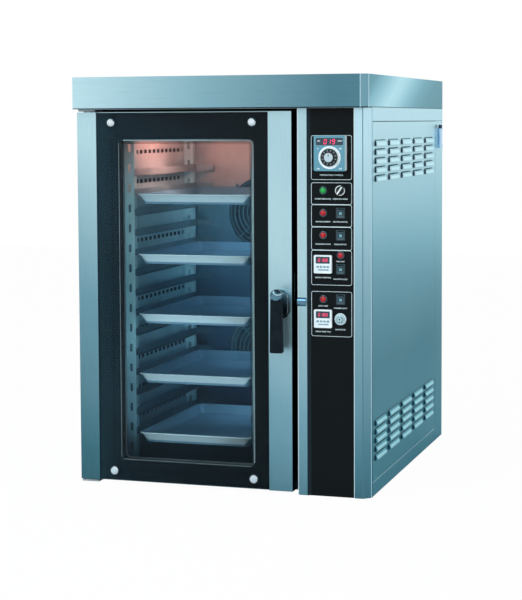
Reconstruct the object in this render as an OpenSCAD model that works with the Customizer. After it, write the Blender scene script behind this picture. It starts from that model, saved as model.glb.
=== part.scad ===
// Convection bakery oven with a glazed door, a control column and fixed tray racks.
// Millimetres. Z is up, the door faces -Y, and the origin is the centre of the underside.
// Modules draw in front coordinates: y = 0 is the front face and y grows into the oven.

/* [Body] */
// Distance from the chamber walls to the left side and to the free edge of the door
jamb_w = 130.5; // [128:0.5:150]
// Space from the chamber roof to the canopy
roof_space = 86; // [84:1:110]
// Depth of the bay for the motors
motor_bay = 220.5; // [200:0.5:260]
// Thickness of the casing sheet
sheet_t = 1.5; // [1:0.1:2]
// Leg of the 45 degree corner beside the controls
corner_cut = 22; // [15:1:28]
// Height of the folded upstand round the base pan
base_upstand = 40; // [25:1:60]

/* [Canopy] */
// Height of the canopy band
canopy_h = 104; // [90:1:130]
// Overhang of the canopy in front of the door
canopy_overhang = 35; // [20:1:60]
// Width of the lip folded in under the canopy
canopy_lip = 14; // [8:1:25]

/* [Control column] */
// Black gap between the door and the fixed strip
door_side_gap = 19; // [14:0.5:24]
// Width of the fixed steel strip
strip_w = 30.5; // [26:0.5:40]
// Width of the bevel beside the control panel
bevel_w = 12; // [8:0.5:16]
// Depth that the bevel drops to the control panel
bevel_drop = 4; // [2:0.5:6]
// Width of the black control panel
control_w = 141.5; // [136:0.5:170]
// Thickness of the control panel
control_t = 3; // [2:0.5:5]
// Front width of the corner pillar
pillar_w = 30; // [24:1:40]
// Depth of the folds behind the strip and the pillar
column_fold = 30; // [26:1:50]

/* [Door] */
// Thickness of the door
door_t = 60; // [50:1:66]
// Space from the back of the door to the front frame
door_back_gap = 8; // [7:0.5:12]
// Space under the door
door_foot_gap = 8; // [6:0.5:14]
// Space over the door
door_head_gap = 10; // [8:0.5:14]
// Width of the hinge stile
hinge_stile_w = 67; // [60:1:80]
// Width of the handle stile
handle_stile_w = 78; // [70:1:90]
// Height of the top and bottom rails of the door
door_rail_h = 62; // [50:1:62]
// Wall of the door's steel sections
door_wall = 1.5; // [1:0.1:2.5]
// Thickness of the outer glass
outer_glass_t = 5; // [4:0.5:8]
// Thickness of the inner glass
inner_glass_t = 4; // [3:0.5:6]
// Recess of the outer glass behind the stiles
glass_recess = 1; // [0.5:0.5:3]
// Black margin of the glass on the hinge side
margin_hinge_side = 75; // [60:1:85]
// Black margin of the glass on the handle side
margin_handle_side = 54; // [45:1:70]
// Black margin of the glass at the bottom
margin_bottom = 69; // [69:1:90]
// Black margin of the glass at the top
margin_top = 92; // [78:1:110]
// Corner radius of the clear window
window_r = 14; // [6:1:25]
// Thickness of the black enamel behind the glass
enamel_t = 0.6; // [0.4:0.1:1.5]
// Radius of the round glass holders
holder_r = 13.5; // [10:0.5:16]
// Distance of the glass holders from the glass sides
holder_inset = 53; // [40:1:60]
// Distance of the glass holders from the top and bottom of the glass
holder_drop = 32; // [22:1:40]
// Distance of the door pivot from the left side
pivot_inset = 22; // [18:1:30]
// Distance of the door pivot from the front face
pivot_depth = 20; // [18:1:30]
// Radius of the pivot pins
pivot_pin_r = 6; // [5:0.5:8]
// Radial running clearance of every turning fit
running_fit = 0.05; // [0.02:0.01:0.09]

/* [Handle and latch] */
// Height of the handle's turning axis
handle_z = 646; // [560:1:720]
// Distance of the handle's axis from the free edge of the door
handle_inset = 35; // [32:1:42]
// Length of the grip below the axis
grip_drop = 183; // [140:1:220]
// Width of the grip at its top
grip_top_w = 36; // [28:1:40]
// Width of the grip at its foot
grip_foot_w = 42; // [34:1:48]
// Thickness of the grip
grip_t = 20; // [14:1:26]
// Distance of the grip's back from the door face
grip_standoff = 46; // [40:1:60]
// Radius of the chrome head
head_r = 19; // [15:1:22]
// Radius of the spindle
spindle_r = 7; // [5:0.5:8]
// Height of the black rose
rose_h = 92; // [76:1:110]
// Width of the black rose
rose_w = 62; // [50:1:66]
// Thickness of the black rose
rose_t = 20; // [12:1:26]
// Length of the latch tongue from the axis
tongue_l = 69; // [60:1:72]
// Angle of the latch tongue below the level when the latch is shut
tongue_tilt = 21; // [10:1:26]
// Turn of the handle from open to shut
handle_turn = 90; // [80:1:100]
// Width of the latch tongue
tongue_w = 14; // [10:1:18]
// Thickness of the latch tongue
tongue_t = 8; // [5:1:12]

/* [Oven chamber] */
// Width of a tray over its rim
tray_w = 400; // [380:1:410]
// Length of a tray over its rim
tray_l = 600; // [560:1:610]
// Depth of a tray
tray_h = 30; // [20:1:45]
// Flare of the tray sides
tray_flare = 12; // [6:1:20]
// Wall of a tray
tray_t = 1.5; // [1:0.1:2.5]
// Width of the tray rim
tray_rim = 8; // [6:0.5:12]
// Distance between two trays
tray_pitch = 200; // [190:1:220]
// Rail levels for each tray
rails_per_tray = 3; // [2:1:3]
// Height of the lowest rim
first_level = 152; // [145:1:165]
// Space over the rim of the top tray
rack_head = 198; // [190:1:230]
// Space at each side of a tray for posts and rails
rack_space = 37; // [34:1:60]
// Height of the chamber floor
chamber_floor = 70; // [60:1:80]
// Distance of the trays from the front face
tray_front = 92; // [90:1:110]
// Depth of a rack post
post_d = 24; // [16:1:30]
// Wall of posts and rails
rack_t = 1.5; // [1:0.1:2.5]
// Height of the slots in the posts
post_slot_h = 26; // [16:1:36]
// Height of the slots' middle above a rail level
post_slot_rise = 22; // [14:1:30]
// Width of the slots in the posts
post_slot_w = 9; // [6:1:14]
// Height of a rail
rail_h = 20; // [14:1:24]
// Length of the stop folded in at the back end of a rail
rail_stop_l = 65; // [20:1:80]
// Width of the side air ducts
duct_w = 30; // [20:1:40]
// Number of air holes in a row
air_holes = 12; // [8:1:14]
// Length of an air hole
air_hole_l = 28; // [14:1:32]
// Height of an air hole
air_hole_h = 13; // [8:1:20]
// Height of the lowest air holes above the lowest rim
air_hole_rise = 34; // [28:1:60]
// Distance between two rows of air holes
air_row_pitch = 100; // [80:1:120]
// Distance from the trays to the fan baffle
baffle_gap = 50; // [45:1:70]
// Side gap of the fan baffle that lets the air out
baffle_side_gap = 54; // [40:1:80]
// Depth from the fan baffle to the back wall
fan_bay = 118; // [114:1:140]
// Thickness of the insulation
insulation_t = 56; // [40:1:58]

/* [Fans and heaters] */
// Radius of a fan wheel
fan_r = 145; // [120:1:150]
// Depth of a fan wheel
fan_depth = 56; // [40:1:64]
// Number of fan blades
blades = 24; // [12:1:32]
// Distance of the fans from the chamber floor and roof
fan_rise = 290; // [250:1:300]
// Distance of the fans from the chamber's centre towards the controls
fan_offset = 40; // [0:1:45]
// Radius of the fan inlet
inlet_r = 132; // [100:1:140]
// Radius of the guard wire
guard_wire_r = 2; // [1.5:0.1:3]
// Number of rings in a fan guard
guard_rings = 7; // [5:1:9]
// Radius of the fan shaft
shaft_r = 8; // [6:0.5:10]
// Radius of a heater ring
heater_r = 172; // [160:1:190]
// Radius of the heater tube
heater_tube_r = 4.5; // [3:0.5:6]
// Distance between the two rings of a heater
heater_pitch = 28; // [20:1:34]
// Distance of a heater's leads from its centre line
heater_lead = 20; // [14:1:26]
// Radius of a motor
motor_r = 75; // [60:1:90]
// Length of a motor
motor_l = 150; // [110:1:170]

/* [Side cover] */
// Width of the frame strip over and under the side cover
cover_border = 43; // [35:1:60]
// Width of the rear corner strip
rear_strip_w = 128; // [100:1:150]
// Seam round the side cover
seam = 1.5; // [1:0.1:3]
// Louvre rows in each group
louvre_rows = 5; // [3:1:6]
// Length of a louvre
louvre_l = 140; // [110:1:150]
// Height of a louvre
louvre_h = 19; // [14:1:21]
// Bulge of a louvre
louvre_bulge = 9; // [6:0.5:12]
// Slope of a louvre's ends, measured along the louvre
louvre_end = 6; // [2:0.5:12]
// Distance between two louvre columns
louvre_pitch_y = 188; // [170:1:192]
// Distance between two louvre rows
louvre_pitch_z = 28; // [25:1:34]
// Distance of the first louvre column from the front edge of the cover
louvre_front = 30; // [20:1:50]
// Least space behind the last louvre column
louvre_rear = 40; // [20:1:80]
// Distance of the upper louvres from the top of the cover
louvre_top = 60; // [40:1:90]
// Distance of the lower louvres from the bottom of the cover
louvre_bottom = 68; // [50:1:90]

/* [Controls] */
// Distance of the left column of controls from the panel centre
left_col = -29.5; // [-34:0.5:-27]
// Distance of the right column of controls from the panel centre
right_col = 27; // [25:0.5:34]
// Width of the temperature controller
controller_w = 101; // [90:1:104]
// Height of the temperature controller
controller_h = 111; // [100:1:120]
// Height that the temperature controller stands proud of the panel
controller_proud = 25; // [10:1:30]
// Depth of the temperature controller behind the panel
controller_depth = 70; // [50:1:90]
// Distance of the temperature controller below the canopy
controller_drop = 143; // [130:1:150]
// Distance of the temperature dial below the canopy
dial_drop = 156; // [150:1:160]
// Radius of the temperature dial
dial_r = 31; // [24:1:34]
// Distance from the controller's foot to the selector
selector_gap = 61.5; // [50:0.5:70]
// Radius of the selector knob
selector_r = 16; // [12:1:18]
// Distance from the selector to the first switch row
switch_pitch_1 = 71; // [60:1:80]
// Distance from the first to the second switch row
switch_pitch_2 = 70; // [60:1:80]
// Size of a small timer's square front
timer_size = 58; // [48:1:60]
// Height that a timer stands proud of the panel
timer_proud = 9; // [4:1:14]
// Depth of a timer behind the panel
timer_depth = 60; // [40:1:80]
// Distance from the second switch row to the upper timer
timer_pitch_1 = 92; // [80:1:100]
// Height of the upper timer's lamp above the timer's middle
timer_lamp_rise = 29; // [24:1:34]
// Distance of the third switch below the upper timer's middle
timer_switch_drop = 15; // [11:1:20]
// Distance from the upper timer to the fourth switch row
switch_pitch_4 = 111; // [100:1:120]
// Distance from the fourth switch row to the lower timer and the small dial
timer_pitch_2 = 62; // [56:1:80]
// Radius of the small dial knob
knob_r = 19; // [14:1:21]
// Radius of a pilot lamp
lamp_r = 11; // [8:0.5:13]
// Width of a rocker switch
rocker_w = 29; // [24:1:32]
// Height of a rocker switch
rocker_h = 33; // [28:1:36]
// Tilt of a rocker to each side
rocker_tilt = 8; // [5:1:10]

/* [Side bolt] */
// Radius of the bolt's barrel
bolt_r = 8; // [6:0.5:10]
// Height of the top of the bolt below the canopy
bolt_drop = 58; // [52:1:80]
// Height of the bolt with its cap
bolt_h = 86; // [70:1:100]

/* [Hidden] */
$fn = 48;
nothing = 0.01;

// The casing follows from the trays, the chamber round them and the control column
tray_count = 5;
levels = tray_count * rails_per_tray - 1;
level_pitch = tray_pitch / rails_per_tray;
chamber_h = first_level - chamber_floor + (tray_count - 1) * tray_pitch + rack_head;
body_h = chamber_floor + chamber_h + roof_space;
door_w = tray_w + 2 * (rack_space + jamb_w);
body_w = door_w + door_side_gap + strip_w + bevel_w + control_w + pillar_w + corner_cut;
baffle_front = tray_front + tray_l + baffle_gap;
chamber_back = baffle_front + fan_bay;
bulkhead_t = 2;
body_d = chamber_back + sheet_t + insulation_t + bulkhead_t + motor_bay;

x_left = -body_w / 2;
x_right = body_w / 2;
x_pillar = x_right - corner_cut - pillar_w;
x_control = x_pillar - control_w;
x_bevel = x_control - bevel_w;
x_strip = x_bevel - strip_w;
x_door = x_strip - door_side_gap;
x_glass_l = x_left + hinge_stile_w;
x_glass_r = x_door - handle_stile_w;
control_cx = (x_control + x_pillar) / 2;
control_face = bevel_drop;

door_z0 = door_foot_gap;
door_z1 = body_h - door_head_gap;
glass_edge = 2;
glass_z0 = door_z0 + glass_edge;
glass_z1 = door_z1 - glass_edge;
win_x0 = x_glass_l + margin_hinge_side;
win_x1 = x_glass_r - margin_handle_side;
win_z0 = glass_z0 + margin_bottom;
win_z1 = glass_z1 - margin_top;
glass_back = glass_recess + outer_glass_t;
enamel_back = glass_back + enamel_t;
reveal_w = 8;
reveal_out = 3;
inner_glass_y = door_t - door_wall - inner_glass_t;
pivot_x = x_left + pivot_inset;
bush_wall = 5;
bush_l = 24;
bracket_t = 6;
bracket_reach = 40;

front_y = door_t + door_back_gap;
frame_back = front_y + sheet_t;
chamber_cx = (x_left + x_door) / 2;
chamber_half = tray_w / 2 + rack_space;
liner_half = chamber_half + duct_w;
chamber_x0 = chamber_cx - chamber_half;
chamber_x1 = chamber_cx + chamber_half;
liner_x0 = chamber_cx - liner_half;
liner_x1 = chamber_cx + liner_half;
chamber_z0 = chamber_floor;
chamber_z1 = chamber_floor + chamber_h;
liner_back = chamber_back + sheet_t;
insulation_back = liner_back + insulation_t;
bulkhead_back = insulation_back + bulkhead_t;

handle_x = x_door - handle_inset;
tongue_y = 26;
tongue_tip_z = handle_z - tongue_l * sin(tongue_tilt);
latch_clear = 3;
function tongue_sweep(x) = sqrt(tongue_l * tongue_l - (x - handle_x) * (x - handle_x));
keeper_z0 = tongue_tip_z - tongue_w / 2 - latch_clear;
keeper_z1 = handle_z + tongue_sweep(x_strip) + latch_clear;
keeper_boss_r = 14;
keeper_proud = 7;

rack_front = tray_front - 2;
post_gap = 1.5;
rail_fold = 1;
post_w = rack_space - post_gap - rack_t - rail_fold;
rear_post_y = tray_front + tray_l - post_d - 4;
rail_side = tray_w / 2 + post_gap;
ledge_x = tray_w / 2 - tray_rim + 1;
rim_t = 1.5;
bead_r = 2.4;
tray_gap = 0.3;
air_row_front = rack_front + post_d + 66;
air_pitch = (rear_post_y - 2 - air_row_front) / air_holes;
air_rows = floor((chamber_h + chamber_floor - first_level - air_hole_rise - air_hole_h - 4) / air_row_pitch) + 1;
weld_gap = 0.2;

fan_cx = chamber_cx + fan_offset;
fan_zs = [chamber_z0 + fan_rise, chamber_z1 - fan_rise];
wheel_front = baffle_front + 16;
wheel_back = wheel_front + fan_depth;
guard_hub_r = 14;
guard_pitch = (inlet_r - 8 - guard_hub_r) / guard_rings;

cover_y0 = corner_cut + 12;
cover_y1 = body_d - rear_strip_w;
cover_z0 = cover_border;
cover_z1 = body_h - cover_border;
frame_lap = 16;
louvre_r = (louvre_h * louvre_h + louvre_bulge * louvre_bulge) / (2 * louvre_bulge);
louvre_t = 1.2;
louvre_cols = floor((cover_y1 - cover_y0 - louvre_front - louvre_l - louvre_rear) / louvre_pitch_y) + 1;

bolt_inset = 42;
bolt_y = cover_y1 + bolt_inset;
bolt_top = body_h - bolt_drop;

// ---------------------------------------------------------------- helpers

module from_front() translate([0, -body_d / 2, 0]) children();

module span(x0, x1, y0, y1, z0, z1)
    translate([x0, y0, z0]) cube([x1 - x0, y1 - y0, z1 - z0]);

// A sheet that faces the front: the 2D child is (x, z)
module upright(y, t) translate([0, y + t, 0]) rotate([90, 0, 0]) linear_extrude(t) children();

// A sheet that faces the side: the 2D child is (y, z)
module sideways(x, t) translate([x, 0, 0]) rotate([90, 0, 90]) linear_extrude(t) children();

module box2(a0, a1, b0, b1) translate([a0, b0]) square([a1 - a0, b1 - b0]);

module round2(a0, a1, b0, b1, r) {
    box2(a0 + r, a1 - r, b0, b1);
    box2(a0, a1, b0 + r, b1 - r);
    for (a = [a0 + r, a1 - r], b = [b0 + r, b1 - r])
        translate([a, b]) circle(r);
}

// Rod along Y
module rod_y(x, z, y0, y1, r) translate([x, y0, z]) rotate([-90, 0, 0]) cylinder(h = y1 - y0, r = r);

// Round profile [radius, y] revolved about an axis along Y
module revolved_y(x, z, y) translate([x, y, z]) rotate([90, 0, 0]) rotate_extrude() children();

// Bead of radius r that follows a rectangle with round corners, in the plane z = 0
module bead_ring(x0, x1, y0, y1, corner, r) {
    for (x = [x0, x1])
        translate([x, y0 + corner, 0]) rotate([-90, 0, 0]) cylinder(h = y1 - y0 - 2 * corner, r = r);
    for (y = [y0, y1])
        translate([x0 + corner, y, 0]) rotate([0, 90, 0]) cylinder(h = x1 - x0 - 2 * corner, r = r);
    corners = [[x1 - corner, y1 - corner, 0], [x0 + corner, y1 - corner, 90],
               [x0 + corner, y0 + corner, 180], [x1 - corner, y0 + corner, 270]];
    for (c = corners)
        translate([c[0], c[1], 0]) rotate([0, 0, c[2]])
            rotate_extrude(angle = 90) translate([corner, 0]) circle(r);
}

function level_z(i) = first_level + i * level_pitch;
function inner_cut(cut, t) = cut - (2 - sqrt(2)) * t;

// Footprint with the cut corner on the control side, drawn in by t
module footprint(y0, t) {
    c = inner_cut(corner_cut, t);
    polygon([
        [x_left + t, y0 + t], [x_right - t - c, y0 + t], [x_right - t, y0 + t + c],
        [x_right - t, body_d - t], [x_left + t, body_d - t]
    ]);
}

// ---------------------------------------------------------------- casing

// The pan steps back behind the door and behind the control panel
module base_outline(t) difference() {
    footprint(0, t);
    box2(x_left - 1, x_strip + t, -1, front_y + t);
    box2(x_bevel, x_pillar, -1, control_face + control_t);
}

module base_pan() color("slategray") from_front() {
    linear_extrude(sheet_t) base_outline(sheet_t);
    linear_extrude(base_upstand) difference() {
        base_outline(sheet_t);
        base_outline(2 * sheet_t);
        box2(x_strip, x_right, -1, column_fold);
    }
}

module left_side_panel() color("powderblue") from_front() {
    span(x_left, x_left + sheet_t, front_y, body_d - sheet_t, 0, body_h);
    fold = 18;
    span(x_left + sheet_t, x_left + fold, front_y, front_y + sheet_t, base_upstand, body_h - 2 * sheet_t);
}

module right_side_frame() color("powderblue") from_front() {
    back_x = x_right - 2 * sheet_t;
    y0 = cover_y0;
    difference() {
        sideways(back_x, 2 * sheet_t) box2(y0, body_d - 2 * sheet_t, 0, body_h);
        sideways(x_right - sheet_t, sheet_t + 1) {
            box2(y0 - 1, body_d, cover_z0, cover_z1);
            box2(cover_y1 - sheet_t, body_d, -1, cover_z1);
        }
        sideways(back_x - 1, 2 * sheet_t + 2)
            box2(y0 + frame_lap, cover_y1 - frame_lap, cover_z0 + frame_lap, cover_z1 - frame_lap);
        // Room for the folded upstand of the base pan
        span(back_x - 1, x_right - sheet_t, y0 - 1, body_d, -1, base_upstand);
    }
}

// One pressed louvre: a slice of a drum with sloped ends, cut off level, that opens downwards
module louvre_form(shrink) {
    out = x_right + louvre_bulge + 1;
    run = louvre_end * (1 + 1 / louvre_bulge);
    intersection() {
        translate([x_right + louvre_bulge - louvre_r, -1, 0]) rotate([-90, 0, 0])
            cylinder(h = louvre_l + 2, r = louvre_r - shrink);
        translate([0, 0, -shrink]) linear_extrude(2 * louvre_h) polygon([
            [x_right - shrink, shrink], [out, run + shrink],
            [out, louvre_l - run - shrink], [x_right - shrink, louvre_l - shrink]
        ]);
    }
}

module louvre_places()
    for (col = [0 : louvre_cols - 1], row = [0 : louvre_rows - 1]) {
        y = cover_y0 + louvre_front + col * louvre_pitch_y;
        for (z = [cover_z1 - louvre_top - louvre_h - row * louvre_pitch_z,
                  cover_z0 + louvre_bottom + row * louvre_pitch_z])
            translate([0, y, z]) children();
    }

module louvred_side_cover() color("lightblue") from_front() {
    sideways(x_right - sheet_t, sheet_t) difference() {
        box2(cover_y0 + seam, cover_y1 - seam, cover_z0 + seam, cover_z1 - seam);
        louvre_slots();
    }
    louvre_places() difference() {
        louvre_form(0);
        louvre_form(louvre_t);
    }
}

module louvre_slots()
    for (col = [0 : louvre_cols - 1], row = [0 : louvre_rows - 1]) {
        y = cover_y0 + louvre_front + col * louvre_pitch_y;
        for (z = [cover_z1 - louvre_top - louvre_h - row * louvre_pitch_z,
                  cover_z0 + louvre_bottom + row * louvre_pitch_z])
            box2(y + 2 * louvre_t, y + louvre_l - 2 * louvre_t, z, z + louvre_h / 2);
    }

module top_cover() color("slategray") from_front() translate([0, 0, body_h - sheet_t])
    linear_extrude(sheet_t) footprint(0, 2 * sheet_t);

module back_cover() color("powderblue") from_front() {
    upright(body_d - sheet_t, sheet_t) difference() {
        box2(x_left, x_right, 0, body_h);
        for (z = fan_zs, i = [-5 : 5])
            round2(fan_cx + i * 24 - 5, fan_cx + i * 24 + 5, z - 60, z + 60, 4.9);
        translate([gland_x, gland_z]) circle(gland_bore_r);
    }
    span(x_right - sheet_t, x_right, cover_y1, body_d - sheet_t, 0, cover_z1 - seam);
    // Cable gland at the foot of the control bay
    difference() {
        union() {
            rod_y(gland_x, gland_z, body_d, body_d + 3, 16);
            rod_y(gland_x, gland_z, body_d + 3, body_d + 12, 12);
        }
        rod_y(gland_x, gland_z, body_d - 1, body_d + 13, gland_bore_r);
    }
}

gland_x = x_right - 70;
gland_z = 90;
gland_bore_r = 7;

module canopy() color("lightsteelblue") from_front() translate([0, 0, body_h]) {
    difference() {
        linear_extrude(canopy_h) footprint_canopy(0);
        translate([0, 0, -1]) linear_extrude(canopy_h - sheet_t + 1) footprint_canopy(sheet_t);
    }
    linear_extrude(sheet_t) difference() {
        footprint_canopy(sheet_t / 2);
        footprint_canopy(canopy_overhang + canopy_lip);
    }
}

module footprint_canopy(t) {
    c = inner_cut(corner_cut, t);
    cut = max(c, 0.5);
    polygon([
        [x_left + t, t - canopy_overhang], [x_right - t - cut, t - canopy_overhang],
        [x_right - t, t - canopy_overhang + cut], [x_right - t, body_d - t], [x_left + t, body_d - t]
    ]);
}

// Four welded strips round the mouth of the chamber
module front_frame() color("lightsteelblue") from_front() upright(front_y, sheet_t) {
    top = body_h - sheet_t;
    box2(x_left + 18, chamber_x0, base_upstand, top);
    box2(chamber_x1, x_strip, base_upstand, top);
    box2(chamber_x0 + weld_gap, chamber_x1 - weld_gap, base_upstand, chamber_z0);
    box2(chamber_x0 + weld_gap, chamber_x1 - weld_gap, chamber_z1, top);
}

// ---------------------------------------------------------------- control column

module latch_strip() color("powderblue") from_front() difference() {
    union() {
        span(x_strip, x_bevel, 0, sheet_t, 0, body_h - sheet_t);
        span(x_strip, x_strip + sheet_t, 0, frame_back, 0, body_h - sheet_t);
        span(x_bevel - sheet_t, x_bevel, sheet_t, column_fold, sheet_t, body_h - sheet_t);
    }
    // Windows for the keeper's boss and for the tongue
    span(x_strip - 1, x_bevel - sheet_t - 1, -1, sheet_t + 1,
        tongue_tip_z - keeper_boss_r, tongue_tip_z + keeper_boss_r);
    span(x_strip - 1, x_strip + sheet_t + 1, tongue_y - latch_clear, tongue_y + tongue_t + latch_clear,
        keeper_z0, keeper_z1);
}

// Box behind the strip with a round boss in front, open to the door on its side
module latch_keeper() color("silver") from_front() {
    x0 = x_strip + sheet_t;
    x1 = x_bevel - sheet_t;
    wall = 5;
    difference() {
        union() {
            span(x0, x1, sheet_t, tongue_y + tongue_t + latch_clear + wall, keeper_z0 - wall, keeper_z1 + wall);
            intersection() {
                translate([x_strip, keeper_boss_r - keeper_proud, tongue_tip_z]) rotate([0, 90, 0])
                    cylinder(h = x1 - 1 - x_strip, r = keeper_boss_r);
                span(x_strip, x1 - 1, -keeper_proud, sheet_t + 1,
                    tongue_tip_z - keeper_boss_r, tongue_tip_z + keeper_boss_r);
            }
        }
        span(x0 - 1, x1 - wall, tongue_y - latch_clear, tongue_y + tongue_t + latch_clear, keeper_z0, keeper_z1);
    }
}

module control_panel() color("#141f24") from_front() difference() {
    linear_extrude(body_h - sheet_t) polygon([
        [x_bevel, 0.5], [x_bevel + 0.5, 0], [x_control, control_face], [x_pillar, control_face],
        [x_pillar, control_face + control_t], [x_bevel, control_face + control_t]
    ]);
    upright(-1, 20) panel_cutouts();
}

module panel_cutouts() {
    cx = control_cx;
    cz = body_h - controller_drop;
    box2(cx + controller_cx - controller_w / 2 + 3, cx + controller_cx + controller_w / 2 - 3,
        cz - controller_h / 2 + 3, cz + controller_h / 2 - 3);
    for (d = timer_drops)
        box2(cx + left_col - timer_size / 2 + 3, cx + left_col + timer_size / 2 - 3,
            body_h - d - timer_size / 2 + 3, body_h - d + timer_size / 2 - 3);
    for (d = row_drops)
        box2(cx + right_col - rocker_w / 2 + 2, cx + right_col + rocker_w / 2 - 2,
            body_h - d - rocker_h / 2 + 2, body_h - d + rocker_h / 2 - 2);
    for (p = lamp_places) translate([cx + p[0], body_h - p[1]]) circle(lamp_r - 2);
    for (p = knob_places) translate([cx + p[0], body_h - p[1]]) circle(p[2]);
}

selector_drop = controller_drop + controller_h / 2 + selector_gap;
row_1 = selector_drop + switch_pitch_1;
row_2 = row_1 + switch_pitch_2;
timer_1 = row_2 + timer_pitch_1;
row_4 = timer_1 + switch_pitch_4;
row_drops = [row_1, row_2, timer_1 + timer_switch_drop, row_4];
timer_drops = [timer_1, row_4 + timer_pitch_2];
controller_cx = -2.75;
dial_cx = -2.25;
knob_hole = 6;
lamp_places = [
    [left_col, row_drops[0]], [left_col, row_drops[1]], [right_col, timer_1 - timer_lamp_rise], [left_col, row_drops[3]],
    [left_col, selector_drop]
];
knob_places = [[right_col, selector_drop, knob_hole], [right_col, timer_drops[1], knob_hole]];

module corner_pillar() color("powderblue") from_front() {
    t = sheet_t;
    c = inner_cut(corner_cut, t);
    linear_extrude(body_h - t) polygon([
        [x_pillar, 0], [x_right - corner_cut, 0], [x_right, corner_cut], [x_right, cover_y0],
        [x_right - t, cover_y0], [x_right - t, t + c], [x_right - t - c, t], [x_pillar, t]
    ]);
    span(x_pillar, x_pillar + t, t, column_fold, t, body_h - t);
}

// Walls behind the front: one beside the control bay, one behind the chamber
module inner_walls() color("gray") from_front() {
    span(x_strip, x_strip + sheet_t, frame_back, body_d - 2 * sheet_t, base_upstand, body_h - sheet_t);
    difference() {
        span(x_left + sheet_t, x_strip, insulation_back, bulkhead_back, base_upstand, body_h - sheet_t);
        for (z = fan_zs) rod_y(fan_cx, z, insulation_back - 1, bulkhead_back + 1, shaft_r + 4);
    }
}

// ---------------------------------------------------------------- chamber

module chamber_liner() color("silver") from_front() difference() {
    span(liner_x0 - sheet_t, liner_x1 + sheet_t, frame_back, liner_back,
        chamber_z0 - sheet_t, chamber_z1 + sheet_t);
    span(liner_x0, liner_x1, frame_back - 1, chamber_back, chamber_z0, chamber_z1);
    for (z = fan_zs) {
        rod_y(fan_cx, z, chamber_back - 1, liner_back + 1, shaft_r + 4);
        heater_leads(z, 0.5);
    }
    lamp_hole(lamp_bore_r);
}

module insulation() color("khaki") from_front() difference() {
    span(liner_x0 - insulation_t, liner_x1 + insulation_t, frame_back + 2 * sheet_t, insulation_back,
        chamber_z0 - insulation_t + 2, chamber_z1 + insulation_t);
    span(liner_x0 - sheet_t, liner_x1 + sheet_t, frame_back - 1, liner_back,
        chamber_z0 - sheet_t, chamber_z1 + sheet_t);
    for (z = fan_zs) {
        rod_y(fan_cx, z, chamber_back - 1, insulation_back + 1, shaft_r + 4);
        heater_leads(z, 0.5);
    }
    lamp_hole(lamp_bore_r);
}

module air_duct(x) sideways(x, sheet_t) difference() {
    box2(frame_back, baffle_front - 10, chamber_z0, chamber_z1);
    for (i = [0 : air_rows - 1], j = [0 : air_holes - 1]) {
        y = air_row_front + (j + 0.5) * air_pitch - air_hole_l / 2;
        z = first_level + i * air_row_pitch + air_hole_rise;
        box2(y, y + air_hole_l, z, z + air_hole_h);
    }
}

// Folded edge that carries the duct sheet off the liner
module duct_edge(x0, x1) {
    span(x0, x1, frame_back, frame_back + sheet_t, chamber_z0, chamber_z1);
    for (z = [chamber_z0, chamber_z1 - sheet_t])
        span(x0, x1, frame_back, baffle_front - 10, z, z + sheet_t);
}

module left_air_duct() color("silver") from_front() {
    air_duct(chamber_x0 - sheet_t);
    duct_edge(liner_x0, chamber_x0);
}

module right_air_duct() color("silver") from_front() {
    air_duct(chamber_x1);
    duct_edge(chamber_x1, liner_x1);
}

// A post: a channel whose slotted face looks at the door
module rack_post(x, y) difference() {
    span(x, x + post_w, y, y + post_d, chamber_z0, chamber_z1);
    span(x + rack_t, x + post_w - rack_t, y + rack_t, y + post_d + 1, chamber_z0 - 1, chamber_z1 + 1);
    for (i = [-1 : levels]) {
        z = level_z(i) + post_slot_rise;
        span(x + (post_w - post_slot_w) / 2, x + (post_w + post_slot_w) / 2,
            y - 1, y + rack_t + 1, z - post_slot_h / 2, z + post_slot_h / 2);
    }
}

module rack_posts() color("lightsteelblue") from_front()
    for (x = [chamber_x0, chamber_x1 - post_w], y = [rack_front, rear_post_y]) rack_post(x, y);

// A rail: an angle from post to post with a stop at its back end.
// Its web is stood off the post by a folded end, so it reaches the tray's side.
module rail(side, z) {
    x_post = chamber_half - post_w;
    web = rail_side;
    y1 = tray_front + tray_l + 4;
    translate([chamber_cx, 0, 0]) mirror([side > 0 ? 0 : 1, 0, 0]) {
        span(web, web + rack_t, rack_front, y1, z - rim_t - rack_t, z + rail_h);
        span(ledge_x, web + rack_t, rack_front, y1, z - rim_t - rack_t, z - rim_t);
        span(web - rail_stop_l, web + rack_t, y1 - rack_t, y1, z - rim_t - rack_t, z + rail_h);
        for (y = [rack_front, rear_post_y])
            span(web + rack_t, x_post, y, y + post_d, z, z + rail_h - 2);
    }
}

module left_rails() color("lightsteelblue") from_front()
    for (i = [0 : levels - 1]) rail(-1, level_z(i) - tray_gap);

module right_rails() color("lightsteelblue") from_front()
    for (i = [0 : levels - 1]) rail(1, level_z(i) - tray_gap);

// Tray body between two heights, narrower at the foot
module tray_form(inset, z0, z1) hull() {
    for (part = [[z0, tray_flare], [z1 - nothing, 0]]) {
        half_w = tray_w / 2 - tray_rim - inset - part[1];
        translate([0, 0, part[0]]) linear_extrude(nothing)
            round2(-half_w, half_w, tray_rim + inset + part[1], tray_l - tray_rim - inset - part[1], 16);
    }
}

module tray_shape() {
    difference() {
        tray_form(0, -tray_h, 0);
        tray_form(tray_t, -tray_h + tray_t, 1);
    }
    difference() {
        translate([0, 0, -rim_t]) linear_extrude(rim_t)
            round2(-tray_w / 2 + bead_r, tray_w / 2 - bead_r, bead_r, tray_l - bead_r, 24);
        tray_form(tray_t, -tray_h + tray_t, 1);
    }
    translate([0, 0, bead_r - rim_t])
        bead_ring(-tray_w / 2 + bead_r, tray_w / 2 - bead_r, bead_r, tray_l - bead_r, 24, bead_r);
}

module tray(i) color("gainsboro") from_front()
    translate([chamber_cx, tray_front, first_level + i * tray_pitch]) tray_shape();

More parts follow.
